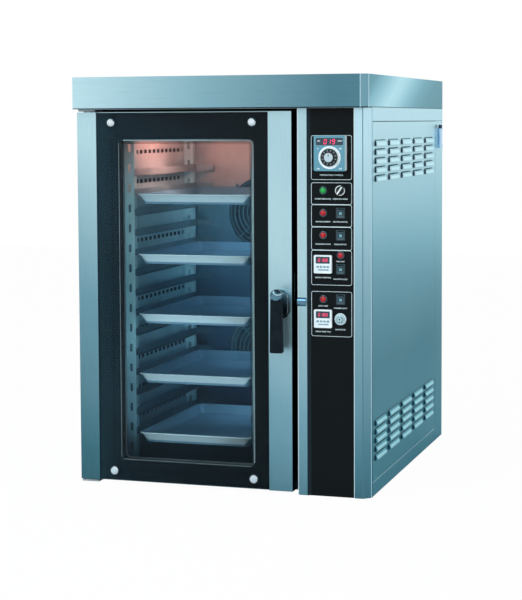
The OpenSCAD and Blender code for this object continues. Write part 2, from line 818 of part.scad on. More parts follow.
module tray_1() tray(0);
module tray_2() tray(1);
module tray_3() tray(2);
module tray_4() tray(3);
module tray_5() tray(4);

module lamp_hole(r) translate([lamp_x, lamp_y, chamber_z1 - 1]) cylinder(h = insulation_t + 4, r = r);

lamp_x = chamber_cx - 60;
lamp_y = 330;
lamp_bore_r = 38;

module lamp_housing() color("silver") from_front() translate([lamp_x, lamp_y, chamber_z1]) {
    r = lamp_bore_r - 0.3;
    rotate_extrude() polygon([
        [30, -4], [46, -4], [48, -2], [48, 0], [r, 0], [r, 40], [0, 40], [0, 38], [r - 2, 38], [r - 2, 1], [30, 1]
    ]);
}

module lamp_lens() color("lightyellow") from_front() translate([lamp_x, lamp_y, chamber_z1 - 4]) {
    rotate_extrude() intersection() {
        difference() {
            translate([0, 20]) circle(34);
            translate([0, 20]) circle(31);
        }
        translate([0, -20]) square([30, 20 + 4]);
    }
}

// ---------------------------------------------------------------- fans and heat

module fan_baffle() color("silver") from_front() {
    upright(baffle_front, sheet_t) difference() {
        box2(chamber_x0 + baffle_side_gap, chamber_x1 - baffle_side_gap, chamber_z0, chamber_z1);
        for (z = fan_zs) translate([fan_cx, z]) circle(inlet_r);
    }
    // Folded sides and the spacers that carry the sheet on the back wall
    for (x = [chamber_x0 + baffle_side_gap, chamber_x1 - baffle_side_gap - sheet_t])
        span(x, x + sheet_t, baffle_front + sheet_t, wheel_front - 4, chamber_z0, chamber_z1);
    for (x = [chamber_x0 + baffle_side_gap + 8, chamber_x1 - baffle_side_gap - 8],
         z = [chamber_z0 + 40, (chamber_z0 + chamber_z1) / 2, chamber_z1 - 40])
        rod_y(x, z, baffle_front + sheet_t, chamber_back, 6);
}

module fan_guard(z) {
    y = baffle_front - guard_wire_r;
    bar = guard_wire_r / 2;
    for (i = [1 : guard_rings])
        translate([fan_cx, y, z]) rotate([90, 0, 0]) rotate_extrude()
            translate([guard_hub_r + i * guard_pitch, 0]) circle(guard_wire_r);
    for (a = [45, 135, 225, 315])
        translate([fan_cx, y, z]) rotate([0, a, 0]) {
            span(-2 * bar, 2 * bar, -bar, bar, 0, inlet_r + 8);
            rod_y(0, inlet_r + 8, -bar, guard_wire_r, 6);
        }
    rod_y(fan_cx, z, y - 2 * bar, y + 2 * bar, guard_hub_r);
}

module fan_guards() color("lightgray") from_front() for (z = fan_zs) fan_guard(z);

module fan(z) translate([fan_cx, 0, z]) {
    rod_y(0, 0, wheel_back - 3, wheel_back, fan_r);
    difference() {
        rod_y(0, 0, wheel_front, wheel_front + 2, fan_r);
        rod_y(0, 0, wheel_front - 1, wheel_front + 3, fan_r - 34);
    }
    for (i = [0 : blades - 1])
        rotate([0, i * 360 / blades, 0])
            span(-0.8, 0.8, wheel_front + 1, wheel_back - 1, fan_r - 33, fan_r - 1);
    rod_y(0, 0, wheel_back - 30, wheel_back, 20);
    rod_y(0, 0, wheel_back - 34, bulkhead_back + 42, shaft_r);
}

module upper_fan() color("gray") from_front() fan(fan_zs[1]);
module lower_fan() color("gray") from_front() fan(fan_zs[0]);

module fan_motors() color("dimgray") from_front() for (z = fan_zs) difference() {
    union() {
        rod_y(fan_cx, z, bulkhead_back, bulkhead_back + 8, motor_r + 10);
        rod_y(fan_cx, z, bulkhead_back + 8, bulkhead_back + motor_l - 12, motor_r);
        rod_y(fan_cx, z, bulkhead_back + motor_l - 12, bulkhead_back + motor_l, motor_r - 10);
        for (i = [0 : 5])
            rod_y(fan_cx, z, bulkhead_back + 24 + i * 18, bulkhead_back + 30 + i * 18, motor_r + 5);
        span(fan_cx - 30, fan_cx + 30, bulkhead_back + 40, bulkhead_back + 110,
            z + motor_r - 4, z + motor_r + 32);
    }
    rod_y(fan_cx, z, bulkhead_back - 1, bulkhead_back + 44, shaft_r + running_fit);
}

module heater_leads(z, extra)
    for (x = [-heater_lead, heater_lead])
        rod_y(fan_cx + x, z - heater_r, wheel_front + 12, insulation_back + (extra > 0 ? 1 : -8),
            heater_tube_r + extra);

module heating_elements() color("sienna") from_front() for (z = fan_zs) {
    a = asin(heater_lead / heater_r);
    for (y = [wheel_front + 12, wheel_front + 12 + heater_pitch])
        translate([fan_cx, y, z]) rotate([90, 0, 0])
            rotate([0, 0, -90 + a]) rotate_extrude(angle = 360 - 2 * a)
                translate([heater_r, 0]) circle(heater_tube_r);
    heater_leads(z, 0);
}

// ---------------------------------------------------------------- door

module hollow_bar(x0, x1, y0, y1, z0, z1) difference() {
    span(x0, x1, y0, y1, z0, z1);
    span(x0 + door_wall, x1 - door_wall, y0 + door_wall, y1 - door_wall, z0 + door_wall, z1 - door_wall);
}

module door_frame() color("powderblue") from_front() {
    rail_y0 = enamel_back + 1;
    back = door_t - door_wall;
    difference() {
        union() {
            hollow_bar(x_left, x_glass_l, 0, back, door_z0, door_z1);
            hollow_bar(x_glass_r, x_door, 0, back, door_z0, door_z1);
        }
        // Seats of the pivot bushes
        translate([pivot_x, pivot_depth, door_z0 - 1]) cylinder(h = 4, r = pivot_pin_r + bush_wall);
        translate([pivot_x, pivot_depth, door_z1 - 3]) cylinder(h = 4, r = pivot_pin_r + bush_wall);
        // Spindle hole and the slot that the tongue swings out of
        rod_y(handle_x, handle_z, -1, door_wall + 1, spindle_r + 0.5);
        span(x_door - door_wall - 1, x_door + 1, tongue_y - latch_clear, tongue_y + tongue_t + latch_clear,
            handle_z - handle_inset * tan(tongue_tilt) - tongue_w, handle_z + tongue_sweep(x_door - door_wall) + latch_clear);
    }
    for (z = [door_z0, door_z1 - door_rail_h])
        hollow_bar(x_glass_l, x_glass_r, rail_y0, back, z, z + door_rail_h);
}

module door_inner_panel() color("silver") from_front()
    upright(door_t - door_wall, door_wall) difference() {
        box2(x_left, x_door, door_z0, door_z1);
        round2(win_x0, win_x1, win_z0, win_z1, window_r);
    }

module outer_glass() color([0.2, 0.3, 0.33, 0.5]) from_front()
    upright(glass_recess, outer_glass_t) difference() {
        box2(x_glass_l, x_glass_r, glass_z0, glass_z1);
        holder_places() circle(5);
    }

module holder_places()
    for (x = [x_glass_l + holder_inset, x_glass_r - holder_inset],
         z = [glass_z0 + holder_drop, glass_z1 - holder_drop])
        translate([x, z]) children();

module glass_enamel() color("#10181c") from_front()
    upright(glass_back, enamel_t) difference() {
        box2(x_glass_l, x_glass_r, glass_z0, glass_z1);
        round2(win_x0, win_x1, win_z0, win_z1, window_r);
        holder_places() circle(5);
    }

module inner_glass() color([0.7, 0.8, 0.85, 0.4]) from_front()
    span(win_x0 - reveal_w, win_x1 + reveal_w, inner_glass_y, inner_glass_y + inner_glass_t,
        win_z0 - reveal_w, win_z1 + reveal_w);

// Channel round the window that keeps the two panes apart
module glazing_frame() color("silver") from_front() difference() {
    upright(enamel_back, inner_glass_y - enamel_back) difference() {
        round2(win_x0 - reveal_w, win_x1 + reveal_w, win_z0 - reveal_w, win_z1 + reveal_w, window_r + reveal_w);
        round2(win_x0 - reveal_out, win_x1 + reveal_out, win_z0 - reveal_out, win_z1 + reveal_out,
            window_r + reveal_out);
    }
}

module glass_holders() color("gainsboro") from_front()
    for (x = [x_glass_l + holder_inset, x_glass_r - holder_inset],
         z = [glass_z0 + holder_drop, glass_z1 - holder_drop]) {
        revolved_y(x, z, glass_recess) polygon([
            [0, 0], [holder_r - 1.5, 0], [holder_r, 1.5], [holder_r, 5], [holder_r - 2.5, 8], [0, 9]
        ]);
        rod_y(x, z, glass_recess, enamel_back, 5);
        rod_y(x, z, enamel_back, enamel_back + 1, 9);
    }

module door_gasket() color("#3a3f42") from_front() {
    g = 9;
    z_mid = (chamber_z0 + chamber_z1) / 2;
    bulb_r = 3.4;
    base_t = 2;
    difference() {
        upright(front_y - base_t, base_t) difference() {
            round2(chamber_x0 - 2 * g, chamber_x1 + 2 * g, chamber_z0 - 2 * g, chamber_z1 + 2 * g, 22);
            round2(chamber_x0 - 2, chamber_x1 + 2, chamber_z0 - 2, chamber_z1 + 2, 6);
        }
    }
    translate([chamber_cx, front_y - base_t - bulb_r + 1, z_mid]) rotate([90, 0, 0])
        bead_ring(-chamber_half - g - 1, chamber_half + g + 1, -chamber_h / 2 - g - 1,
            chamber_h / 2 + g + 1, 14, bulb_r);
}

module hinge_brackets() color("silver") from_front() {
    x0 = x_left + 3;
    // Foot bracket with a leg on the base pan's upstand, and its pin
    span(x0, pivot_x + bracket_reach, 2, frame_back, 0, bracket_t);
    span(x0, pivot_x + bracket_reach, frame_back - 3, frame_back, 0, base_upstand - 2);
    translate([pivot_x, pivot_depth, 0]) cylinder(h = door_z0 + bush_l - 4, r = pivot_pin_r);
    // Head bracket and its pin
    top = body_h - sheet_t;
    span(x0, pivot_x + bracket_reach, 4, front_y, top - bracket_t, top);
    translate([pivot_x, pivot_depth, door_z1 - bush_l + 4])
        cylinder(h = top - door_z1 + bush_l - 4, r = pivot_pin_r);
}

module hinge_bushes() color("goldenrod") from_front()
    for (end = [[door_z0, 1], [door_z1, -1]])
        translate([pivot_x, pivot_depth, end[0]]) mirror([0, 0, end[1] > 0 ? 0 : 1]) difference() {
            cylinder(h = bush_l, r = pivot_pin_r + bush_wall);
            translate([0, 0, -1]) cylinder(h = bush_l - 1, r = pivot_pin_r + running_fit);
        }

// ---------------------------------------------------------------- handle

module handle_rose() color("#1c2226") from_front() {
    r = rose_w / 2;
    z1 = handle_z + head_r - 4;
    z0 = z1 - rose_h;
    difference() {
        union() {
            upright(-rose_t, rose_t) round2(handle_x - r, handle_x + r, z0, z1, r - 6);
            upright(-rose_t - 3, 3) round2(handle_x - r + 4, handle_x + r - 4, z0 + 4, z1 - 4, r - 10);
        }
        rod_y(handle_x, handle_z, -rose_t - 4, 1, spindle_r + running_fit);
    }
}

module handle_spindle() color("gainsboro") from_front() {
    front = -grip_standoff - grip_t;
    rod_y(handle_x, handle_z, front + 4, tongue_y + tongue_t + 4, spindle_r);
    revolved_y(handle_x, handle_z, -rose_t - 3.3) polygon([
        [0, 0], [head_r - 4, 0], [head_r - 4, 3], [head_r - 7, 6], [head_r - 7, 12], [head_r, 18],
        [head_r, grip_standoff + grip_t - rose_t - 8], [head_r - 3, grip_standoff + grip_t - rose_t - 4],
        [head_r - 8, grip_standoff + grip_t - rose_t - 2], [0, grip_standoff + grip_t - rose_t - 1]
    ]);
    translate([handle_x, tongue_y, handle_z]) rotate([0, tongue_tilt - handle_turn, 0]) {
        span(0, tongue_l - tongue_w / 2, 0, tongue_t, -tongue_w / 2, tongue_w / 2);
        rod_y(tongue_l - tongue_w / 2, 0, 0, tongue_t, tongue_w / 2);
        rod_y(0, 0, 0, tongue_t, tongue_w / 2 + 4);
    }
}

// The grip is a paddle that widens to its foot, cut round the chrome head
module handle_grip() color("#16191c") from_front() {
    z_top = handle_z - head_r + 10;
    z_foot = handle_z - grip_drop;
    front = -grip_standoff - grip_t;
    difference() {
        intersection() {
            upright(front, grip_t) polygon([
                [handle_x - grip_foot_w / 2, z_foot + 3], [handle_x - grip_foot_w / 2 + 3, z_foot],
                [handle_x + grip_foot_w / 2 - 3, z_foot], [handle_x + grip_foot_w / 2, z_foot + 3],
                [handle_x + grip_top_w / 2, z_top - 6], [handle_x + grip_top_w / 2 - 6, z_top],
                [handle_x - grip_top_w / 2 + 6, z_top], [handle_x - grip_top_w / 2, z_top - 6]
            ]);
            // Crowned front face
            translate([handle_x, front + 60, z_foot - 10]) cylinder(h = grip_drop + 20, r = 60, $fn = 96);
        }
        rod_y(handle_x, handle_z, front - 1, 0, head_r);
    }
}

// ---------------------------------------------------------------- controls

module at_panel(col, drop) translate([control_cx + col, control_face, body_h - drop]) children();

module temperature_controller() color("#7fa6ad") from_front() at_panel(controller_cx, controller_drop)
    difference() {
        union() {
            upright(-controller_proud, controller_proud)
                round2(-controller_w / 2, controller_w / 2, -controller_h / 2, controller_h / 2, 5);
            span(-controller_w / 2 + 3, controller_w / 2 - 3, 0, controller_depth,
                -controller_h / 2 + 3, controller_h / 2 - 3);
        }
        // Window of the display
        upright(-controller_proud - 1, 3)
            box2(-controller_w / 2 + 6, controller_w / 2 - 6, controller_h / 2 - 31, controller_h / 2 - 7);
        rod_y(dial_cx - controller_cx, controller_drop - dial_drop, -controller_proud - 1, -controller_proud + 12,
            dial_shaft_r + running_fit);
    }

dial_shaft_r = 4;

module knob_solid(r, h, cap_r, shaft_l, shaft_r, slots) {
    difference() {
        revolved_y(0, 0, 0) polygon([
            [0, 0], [r, 0], [r, 2.5], [r - 1.5, 4], [cap_r + 2.5, 5], [cap_r, h - 1.5], [cap_r - 1.5, h], [0, h]
        ]);
        for (i = [0 : slots - 1])
            rotate([0, i * 360 / slots, 0]) rod_y(cap_r + 2.4, 0, -h - 1, -4, 1.1);
    }
    rod_y(0, 0, -1, shaft_l, shaft_r);
}

module temperature_dial() color("#202427") from_front()
    at_panel(dial_cx, dial_drop) translate([0, -controller_proud - 0.3, 0])
        knob_solid(dial_r, 15, 14, 11, dial_shaft_r, 16);

module selector_knob() color("#202427") from_front() at_panel(right_col, selector_drop)
    translate([0, -fitting_t - 0.3, 0]) {
        rod_y(0, 0, -5, 0, selector_r);
        intersection() {
            rod_y(0, 0, -14, -4, selector_r);
            rotate([0, 35, 0]) span(-5, 5, -14, 0, -selector_r, selector_r);
        }
        rod_y(0, 0, -1, control_t + fitting_t + 12, knob_hole - 1);
    }

module small_knob() color("silver") from_front() at_panel(right_col, timer_drops[1])
    translate([0, -fitting_t - 0.3, 0])
        knob_solid(knob_r, 14, 10, control_t + fitting_t + 12, knob_hole - 1, 16);

module timers() color("whitesmoke") from_front() for (d = timer_drops) at_panel(left_col, d) difference() {
    union() {
        upright(-timer_proud, timer_proud)
            round2(-timer_size / 2, timer_size / 2, -timer_size / 2, timer_size / 2, 4);
        span(-timer_size / 2 + 3, timer_size / 2 - 3, 0, timer_depth, -timer_size / 2 + 3, timer_size / 2 - 3);
    }
    upright(-timer_proud - 1, 2.2) round2(-timer_size / 2 + 6, timer_size / 2 - 6, 2, timer_size / 2 - 5, 1.5);
    for (i = [0 : 3])
        upright(-timer_proud - 1, 1.6) round2(-21 + i * 11, -12 + i * 11, -12, -5, 1.5);
}

fitting_t = 2.5;
pivot_r = 1.5;
rocker_half_w = rocker_w / 2 - 5;
rocker_half_h = rocker_h / 2 - 4;

// Everything that is nutted into the panel: lamp rims, knob bushes and switch frames
module panel_fittings() color("#2a3034") from_front() {
    for (p = lamp_places) at_panel(p[0], p[1]) difference() {
        union() {
            revolved_y(0, 0, 0) polygon([
                [0, 0], [lamp_r + 1.5, 0], [lamp_r + 1.5, 1.5], [lamp_r, fitting_t], [0, fitting_t]
            ]);
            rod_y(0, 0, 0, lamp_depth, lamp_r - 2);
        }
        rod_y(0, 0, -fitting_t - 1, 14, lamp_r - 3.5);
    }
    for (p = knob_places) at_panel(p[0], p[1]) difference() {
        union() {
            rod_y(0, 0, -fitting_t, 0, 12);
            rod_y(0, 0, 0, 20, p[2]);
        }
        rod_y(0, 0, -fitting_t - 1, 21, p[2] - 1 + running_fit);
    }
    for (d = row_drops) at_panel(right_col, d) difference() {
        union() {
            upright(-fitting_t, fitting_t) round2(-rocker_w / 2, rocker_w / 2, -rocker_h / 2, rocker_h / 2, 2);
            span(-rocker_w / 2 + 2, rocker_w / 2 - 2, 0, 24, -rocker_h / 2 + 2, rocker_h / 2 - 2);
        }
        span(-rocker_half_w - 0.5, rocker_half_w + 0.5, -fitting_t - 1, 20,
            -rocker_half_h - 1.2, rocker_half_h + 1.2);
        translate([-rocker_half_w - 2.5, 4, 0]) rotate([0, 90, 0])
            cylinder(h = 2 * rocker_half_w + 5, r = pivot_r + running_fit);
    }
}

lamp_depth = 26;
lens_l = 22.6;
lens_back = 13.5;
module pilot_lamp(p) at_panel(p[0], p[1]) revolved_y(0, 0, lens_back) polygon([
    [0, 0], [lamp_r - 3.5, 0], [lamp_r - 3.5, lens_l - 6.4], [lamp_r - 2.2, lens_l - 6.4],
    [lamp_r - 2.6, lens_l - 4], [lamp_r - 4.5, lens_l - 1.8], [lamp_r - 7, lens_l - 0.6], [0, lens_l]
]);

module red_lamps() color("firebrick") from_front() for (i = [0 : 3]) pilot_lamp(lamp_places[i]);
module green_lamp() color("limegreen") from_front() pilot_lamp(lamp_places[4]);

module rocker(d) color("#31464e") from_front() at_panel(right_col, d) translate([0, 4, 0]) {
    rotate([rocker_tilt, 0, 0]) sideways(-rocker_half_w, 2 * rocker_half_w) polygon([
        [-9.5, -rocker_half_h], [-7, -rocker_half_h / 2], [-6.2, 0], [-7, rocker_half_h / 2],
        [-9.5, rocker_half_h], [4, rocker_half_h - 4], [7, 0], [4, -rocker_half_h + 4]
    ]);
    translate([-rocker_half_w - 2, 0, 0]) rotate([0, 90, 0]) cylinder(h = 2 * rocker_half_w + 4, r = pivot_r);
}

module rocker_1() rocker(row_drops[0]);
module rocker_2() rocker(row_drops[1]);
module rocker_3() rocker(row_drops[2]);
module rocker_4() rocker(row_drops[3]);

// ---------------------------------------------------------------- side bolt

// Barrel bolt on the rear corner strip: a plate with a barrel, and the capped rod that slides in it
module at_bolt() translate([x_right, bolt_y, bolt_top - bolt_h]) children();

module bolt_housing() color("silver") from_front() at_bolt() {
    span(0, 2.5, -bolt_r - 5, bolt_r + 5, 0, bolt_h - 12);
    translate([bolt_r + 1.5, 0, 0]) difference() {
        union() {
            cylinder(h = 14, r = bolt_r + 1.5);
            cylinder(h = bolt_h - 14, r = bolt_r);
            translate([0, 0, bolt_h - 22]) cylinder(h = 8, r = bolt_r + 1);
        }
        translate([0, 0, 6]) cylinder(h = bolt_h, r = bolt_rod_r + running_fit);
    }
}

bolt_rod_r = 5;

module side_bolt() color("dimgray") from_front() at_bolt() translate([bolt_r + 1.5, 0, 0]) {
    translate([0, 0, 8]) cylinder(h = bolt_h - 20, r = bolt_rod_r);
    translate([0, 0, bolt_h - 14]) cylinder(h = 12, r = bolt_r - 1);
    translate([0, 0, bolt_h - 2]) cylinder(h = 2, r = bolt_r - 2);
}

base_pan();
left_side_panel();
right_side_frame();
louvred_side_cover();
top_cover();
back_cover();
canopy();
front_frame();
latch_strip();
control_panel();
corner_pillar();
inner_walls();
chamber_liner();
insulation();
left_air_duct();
right_air_duct();
rack_posts();
left_rails();
right_rails();
tray_1();
tray_2();
tray_3();
tray_4();
tray_5();
fan_baffle();
fan_guards();
upper_fan();
lower_fan();
fan_motors();
heating_elements();
lamp_housing();
lamp_lens();
door_frame();
door_inner_panel();
outer_glass();
glass_enamel();
inner_glass();
glazing_frame();
glass_holders();
door_gasket();
hinge_brackets();
hinge_bushes();
handle_rose();
handle_spindle();
handle_grip();
latch_keeper();
temperature_controller();
temperature_dial();
selector_knob();
small_knob();
timers();
panel_fittings();
red_lamps();
green_lamp();
rocker_1();
rocker_2();
rocker_3();
rocker_4();
bolt_housing();
side_bolt();
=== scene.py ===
import math

import bmesh
import bpy
import numpy as np
from mathutils import Matrix, Vector


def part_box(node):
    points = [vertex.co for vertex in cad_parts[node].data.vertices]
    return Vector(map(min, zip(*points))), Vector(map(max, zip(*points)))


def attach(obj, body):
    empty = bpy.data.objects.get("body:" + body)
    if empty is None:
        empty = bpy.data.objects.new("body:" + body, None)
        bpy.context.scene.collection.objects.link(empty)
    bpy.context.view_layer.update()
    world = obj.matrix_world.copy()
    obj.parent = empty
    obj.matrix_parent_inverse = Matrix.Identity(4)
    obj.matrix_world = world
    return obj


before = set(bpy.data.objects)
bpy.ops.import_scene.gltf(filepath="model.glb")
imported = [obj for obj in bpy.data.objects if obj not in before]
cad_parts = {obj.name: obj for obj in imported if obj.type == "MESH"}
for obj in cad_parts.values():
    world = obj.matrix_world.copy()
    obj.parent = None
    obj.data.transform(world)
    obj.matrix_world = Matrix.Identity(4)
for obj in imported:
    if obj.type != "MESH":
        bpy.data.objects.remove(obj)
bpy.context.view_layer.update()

bl_info = {
    "name": "Bakery Oven Finishes",
    "version": (1, 0, 0),
    "blender": (4, 5, 0),
    "location": "View3D > Sidebar > Oven",
    "description": "Dresses a glazed bakery oven: brushed steel, glass, controls, prints and studio",
    "category": "Object",
}

MM = 0.001


def node_box(name):
    """Lowest and highest corner of a CAD node as two arrays."""
    low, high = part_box(name)
    return np.array(low), np.array(high)


def centre(name):
    """Middle of a CAD node's box."""
    return sum(node_box(name)) / 2


FRONT = node_box("latch_strip")[0][1]
TOP = node_box("back_cover")[1][2]
PANEL_Y = FRONT + 4 * MM
PANEL_CX = centre("control_panel")[0] + 6 * MM
LEFT, RIGHT = -29.5, 27  # columns of the panel, in mm off its middle line
CHAMBER_Z = [corner[2] for corner in node_box("chamber_liner")]
HOLDER_R = 13.5 * MM
WINDOW_X, WINDOW_Z = (-353 * MM, 108 * MM), (79 * MM, 1132 * MM)
WINDOW_CX, WINDOW_CZ = sum(WINDOW_X) / 2, sum(WINDOW_Z) / 2
WINDOW_W, WINDOW_H = WINDOW_X[1] - WINDOW_X[0], WINDOW_Z[1] - WINDOW_Z[0]
CORNER_CUT = 22 * MM
CANOPY_LOW, CANOPY_HIGH = node_box("canopy")
COVER_LOW, COVER_HIGH = node_box("louvred_side_cover")
LOUVRE_PITCH, LOUVRE_STEP, LOUVRE_W = 28 * MM, 188 * MM, 140 * MM


def drop(mm):
    """Height of a point so many millimetres below the canopy."""
    return TOP - mm * MM


# Colours and node trees

def paint(colour):
    """Linear colour of a display colour given as 0xRRGGBB. A linear colour or a link stays as it is."""
    if not isinstance(colour, int):
        return colour
    c = np.array(list(colour.to_bytes(3, "big"))) / 255.0
    c = np.where(c <= 0.04045, c / 12.92, ((c + 0.055) / 1.055) ** 2.4)
    return (*c, 1.0)


def times(colour, factor):
    """A colour made lighter or darker by a factor."""
    return tuple(v * factor for v in colour[:3]) + (1,)


class Nodes:
    """A node tree that reads one kind of coordinates."""

    def __init__(self, tree, space):
        self.tree = tree
        self.place = self.add("TexCoord").outputs[space]

    def add(self, kind, inputs=None, **properties):
        node = self.tree.nodes.new("ShaderNode" + kind)
        for key, value in properties.items():
            setattr(node, key, value)
        for key, value in (inputs or {}).items():
            self.feed(node, key, value)
        return node

    def feed(self, node, socket, value):
        """Gives a socket a link, a plain value, or the coordinate that a letter names."""
        if isinstance(value, str):
            value = self.add("SeparateXYZ", {0: self.place}).outputs[value]
        if isinstance(value, bpy.types.NodeSocket):
            self.tree.links.new(value, node.inputs[socket])
        else:
            node.inputs[socket].default_value = value

    def ranged(self, value, low, high, to_low=0.0, to_high=1.0):
        node = self.add("MapRange", {
            "Value": value, "From Min": low, "From Max": high, "To Min": to_low, "To Max": to_high})
        return node.outputs["Result"]

    def sums(self, operation, first, second=0.5):
        return self.add("Math", {0: first, 1: second}, operation=operation).outputs[0]

    def both(self, first, second):
        """Product of two values, so the overlap of two masks."""
        return self.sums("MULTIPLY", first, second)

    def past(self, value, limit):
        return self.sums("GREATER_THAN", value, limit)

    def under(self, value, limit):
        return self.sums("LESS_THAN", value, limit)

    def band(self, value, low, high):
        """1 between two values and 0 outside them."""
        return self.both(self.past(value, low), self.under(value, high))

    def along(self, value, start, pitch):
        """Distance along a pattern that repeats with a pitch from a start."""
        turns = self.sums("DIVIDE", self.sums("SUBTRACT", value, start), pitch)
        return self.both(self.sums("FRACT", turns), pitch)

    def vectors(self, operation, first, second=(0, 0, 0)):
        return self.add("VectorMath", {0: first, 1: second}, operation=operation).outputs


class Finish(Nodes):
    """A material whose nodes read Object coordinates."""

    def __init__(self, name, **sockets):
        self.material = bpy.data.materials.new(name)
        self.material.use_nodes = True
        super().__init__(self.material.node_tree, "Object")
        self.shader = self.tree.nodes["Principled BSDF"]
        for socket, value in sockets.items():
            self.set(socket.replace("_", " "), value)

    def set(self, socket, value):
        self.feed(self.shader, socket, value)

    def coat(self, *nodes):
        """Gives CAD nodes this finish."""
        for name in nodes:
            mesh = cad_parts[name].data
            mesh.materials.clear()
            mesh.materials.append(self.material)

    def noise(self, scale, detail=3.0, rough=0.5, stretch=None):
        """Noise at one scale, or drawn out by its own scale on each axis."""
        place = self.place
        if stretch:
            place = self.add("Mapping", {"Vector": place, "Scale": stretch}).outputs["Vector"]
        node = self.add("TexNoise", {"Vector": place, "Scale": scale, "Detail": detail, "Roughness": rough})
        return node.outputs["Fac"]

    def ramp(self, value, stops, sharp=False):
        node = self.add("ValToRGB", {"Fac": value})
        ramp = node.color_ramp
        ramp.interpolation = "CONSTANT" if sharp else "LINEAR"
        while len(ramp.elements) < len(stops):
            ramp.elements.new(0.5)
        for element, (position, colour) in zip(ramp.elements, stops):
            element.position = position
            element.color = paint(colour)
        return node.outputs["Color"]

    def run(self, value, low, high, stops):
        """Tone that runs along a value between two limits."""
        return self.ramp(self.ranged(value, low, high), stops)

    def blend(self, factor, first, second, mode="MIX"):
        node = self.add("Mix", data_type="RGBA", blend_type=mode)
        for socket, value in ((0, factor), (6, paint(first)), (7, paint(second))):
            self.feed(node, socket, value)
        return node.outputs[2]

    def mottled(self, noise, first, second, share=1.0, low=0.3, high=0.7):
        """Blend that a noise moves from one colour towards another, up to a share."""
        return self.blend(self.ranged(noise, low, high, 0.0, share), first, second)

    def colour(self, value):
        self.set("Base Color", paint(value))

    def roughness(self, value, rough, rougher, low=0.3, high=0.7):
        """Roughness that runs with a value between two limits."""
        self.set("Roughness", self.ranged(value, low, high, rough, rougher))

    def bump(self, height, distance, strength):
        node = self.add("Bump", {"Height": height, "Distance": distance, "Strength": strength})
        self.set("Normal", node.outputs["Normal"])

    def square(self, x, z):
        """Distance from a point measured as a square: the larger of the two offsets."""
        offsets = [self.sums("ABSOLUTE", self.sums("SUBTRACT", a, c)) for a, c in (("X", x), ("Z", z))]
        return self.sums("MAXIMUM", *offsets)

    def radius(self, x, z):
        """Distance from an axis along Y through x and z."""
        moved = self.vectors("SUBTRACT", self.place, (x, 0, z))[0]
        return self.vectors("LENGTH", self.vectors("MULTIPLY", moved, (1, 0, 1))[0])["Value"]


# Scales of the streaks in brushed steel, by the axis that they follow
GRAINS = {"Z": (1300, 1300, 9), "X": (9, 1300, 1300)}


def brushed_steel(name, stops, along, low, high, rough, lean=0.0, painted_light_marks=None, edge=0x96BECD):
    """Brushed sheet: fine streaks, and a painted reflection: light and shade run along one axis, leaning with X, with
    painted highlights and shade lines by mask.
    """
    f = Finish(name, Metallic=0.9, Roughness=rough)
    f.set("Specular Tint", paint(edge))
    streaks = f.noise(1.0, 4.0, 0.6, GRAINS[along])
    clouds = f.noise(2.2, 2.0)
    # Painted reflection: light and shade run along one axis
    tone = f.run(f.sums("ADD", along, f.both("X", lean)) if lean else along, low, high, stops)
    fine = f.ramp(streaks, [(0.25, (0.88, 0.88, 0.88, 1)), (0.75, (1.06, 1.06, 1.06, 1))])
    tone = f.blend(1.0, f.mottled(clouds, tone, 0xE2F2F6, 0.05), fine, "MULTIPLY")
    # Painted highlights and shade lines, each by its mask
    for mask, colour in (painted_light_marks(f) if painted_light_marks else ()):
        tone = f.blend(mask, tone, colour)
    f.colour(tone)
    f.roughness(streaks, rough - 0.06, rough + 0.1, 0.2, 0.8)
    f.bump(streaks, 0.0002, 0.12)
    return f


def satin_steel(name, stops, rough, smoke, metal=0.75):
    """Plain sheet with soft smoky clouds and faint streaks. Several stops paint light and shade that run with the
    chamber's height.
    """
    f = Finish(name, Metallic=metal, Roughness=rough)
    clouds = f.noise(7.0, 5.0, 0.6)
    streaks = f.noise(1.0, 3.0, 0.5, (60, 60, 900))
    tone = stops if isinstance(stops, int) else f.run("Z", *CHAMBER_Z, stops)
    f.colour(f.mottled(clouds, tone, f.blend(1.0, tone, (1 - smoke,) * 3 + (1,), "MULTIPLY"), high=0.72))
    f.roughness(streaks, rough - 0.05, rough + 0.12, 0.2, 0.8)
    f.bump(streaks, 0.0002, 0.1)
    return f


def moulded(name, colour, rough, grain, metal=0.0, scale=1800.0, shine=0.5):
    """Moulded or coated surface: fine grain in the bump and a slight change of tone."""
    f = Finish(name, Metallic=metal, Roughness=rough, Specular_IOR_Level=shine)
    colour = paint(colour)
    grains = f.noise(scale, 2.0)
    clouds = f.noise(30.0, 3.0)
    pale = tuple(min(1.0, v * 1.25 + 0.004) for v in colour[:3]) + (1,)
    f.colour(f.mottled(clouds, colour, pale, low=0.35))
    f.roughness(clouds, rough - 0.04, rough + 0.06)
    f.bump(grains, 0.00012, grain)
    return f


def polished(name, colour, rough):
    """Chromed or polished metal with faint wipe marks."""
    f = Finish(name, Metallic=1.0, Roughness=rough)
    colour = paint(colour)
    wipes = f.noise(90.0, 4.0, 0.6)
    f.colour(f.mottled(wipes, colour, times(colour, 0.93)))
    f.roughness(wipes, rough, rough + 0.07)
    return f


def pane(name, colour, alpha):
    """Glass pane: a thin tint with gloss, and faint streaks from wiping."""
    f = Finish(name, Metallic=0.0, Alpha=alpha, IOR=1.5, Specular_IOR_Level=0.3)
    colour = paint(colour)
    wipes = f.noise(6.0, 4.0, 0.6, (1, 1, 3))
    f.colour(f.mottled(wipes, colour, times(colour, 1.3), low=0.35))
    f.roughness(wipes, 0.03, 0.06)
    return f


def ringed(name, node, stops, reach, rough, metal=0.0, square=False, moved=(0, 0)):
    """Turned knob or square key: colour by the distance in mm from its own axis, with fine turning marks."""
    f = Finish(name, Metallic=metal, Roughness=rough)
    x, _, z = centre(node)
    r = (f.square if square else f.radius)(x + moved[0], z + moved[1])
    rings = f.sums("SINE", f.both(r, 9000.0))
    f.colour(f.ramp(f.ranged(r, 0.0, reach), [(s / reach * MM, c) for s, c in stops], sharp=True))
    f.roughness(rings, rough - 0.05, rough + 0.08, -1.0, 1.0)
    f.bump(rings, 0.00005, 0.15)
    f.coat(node)


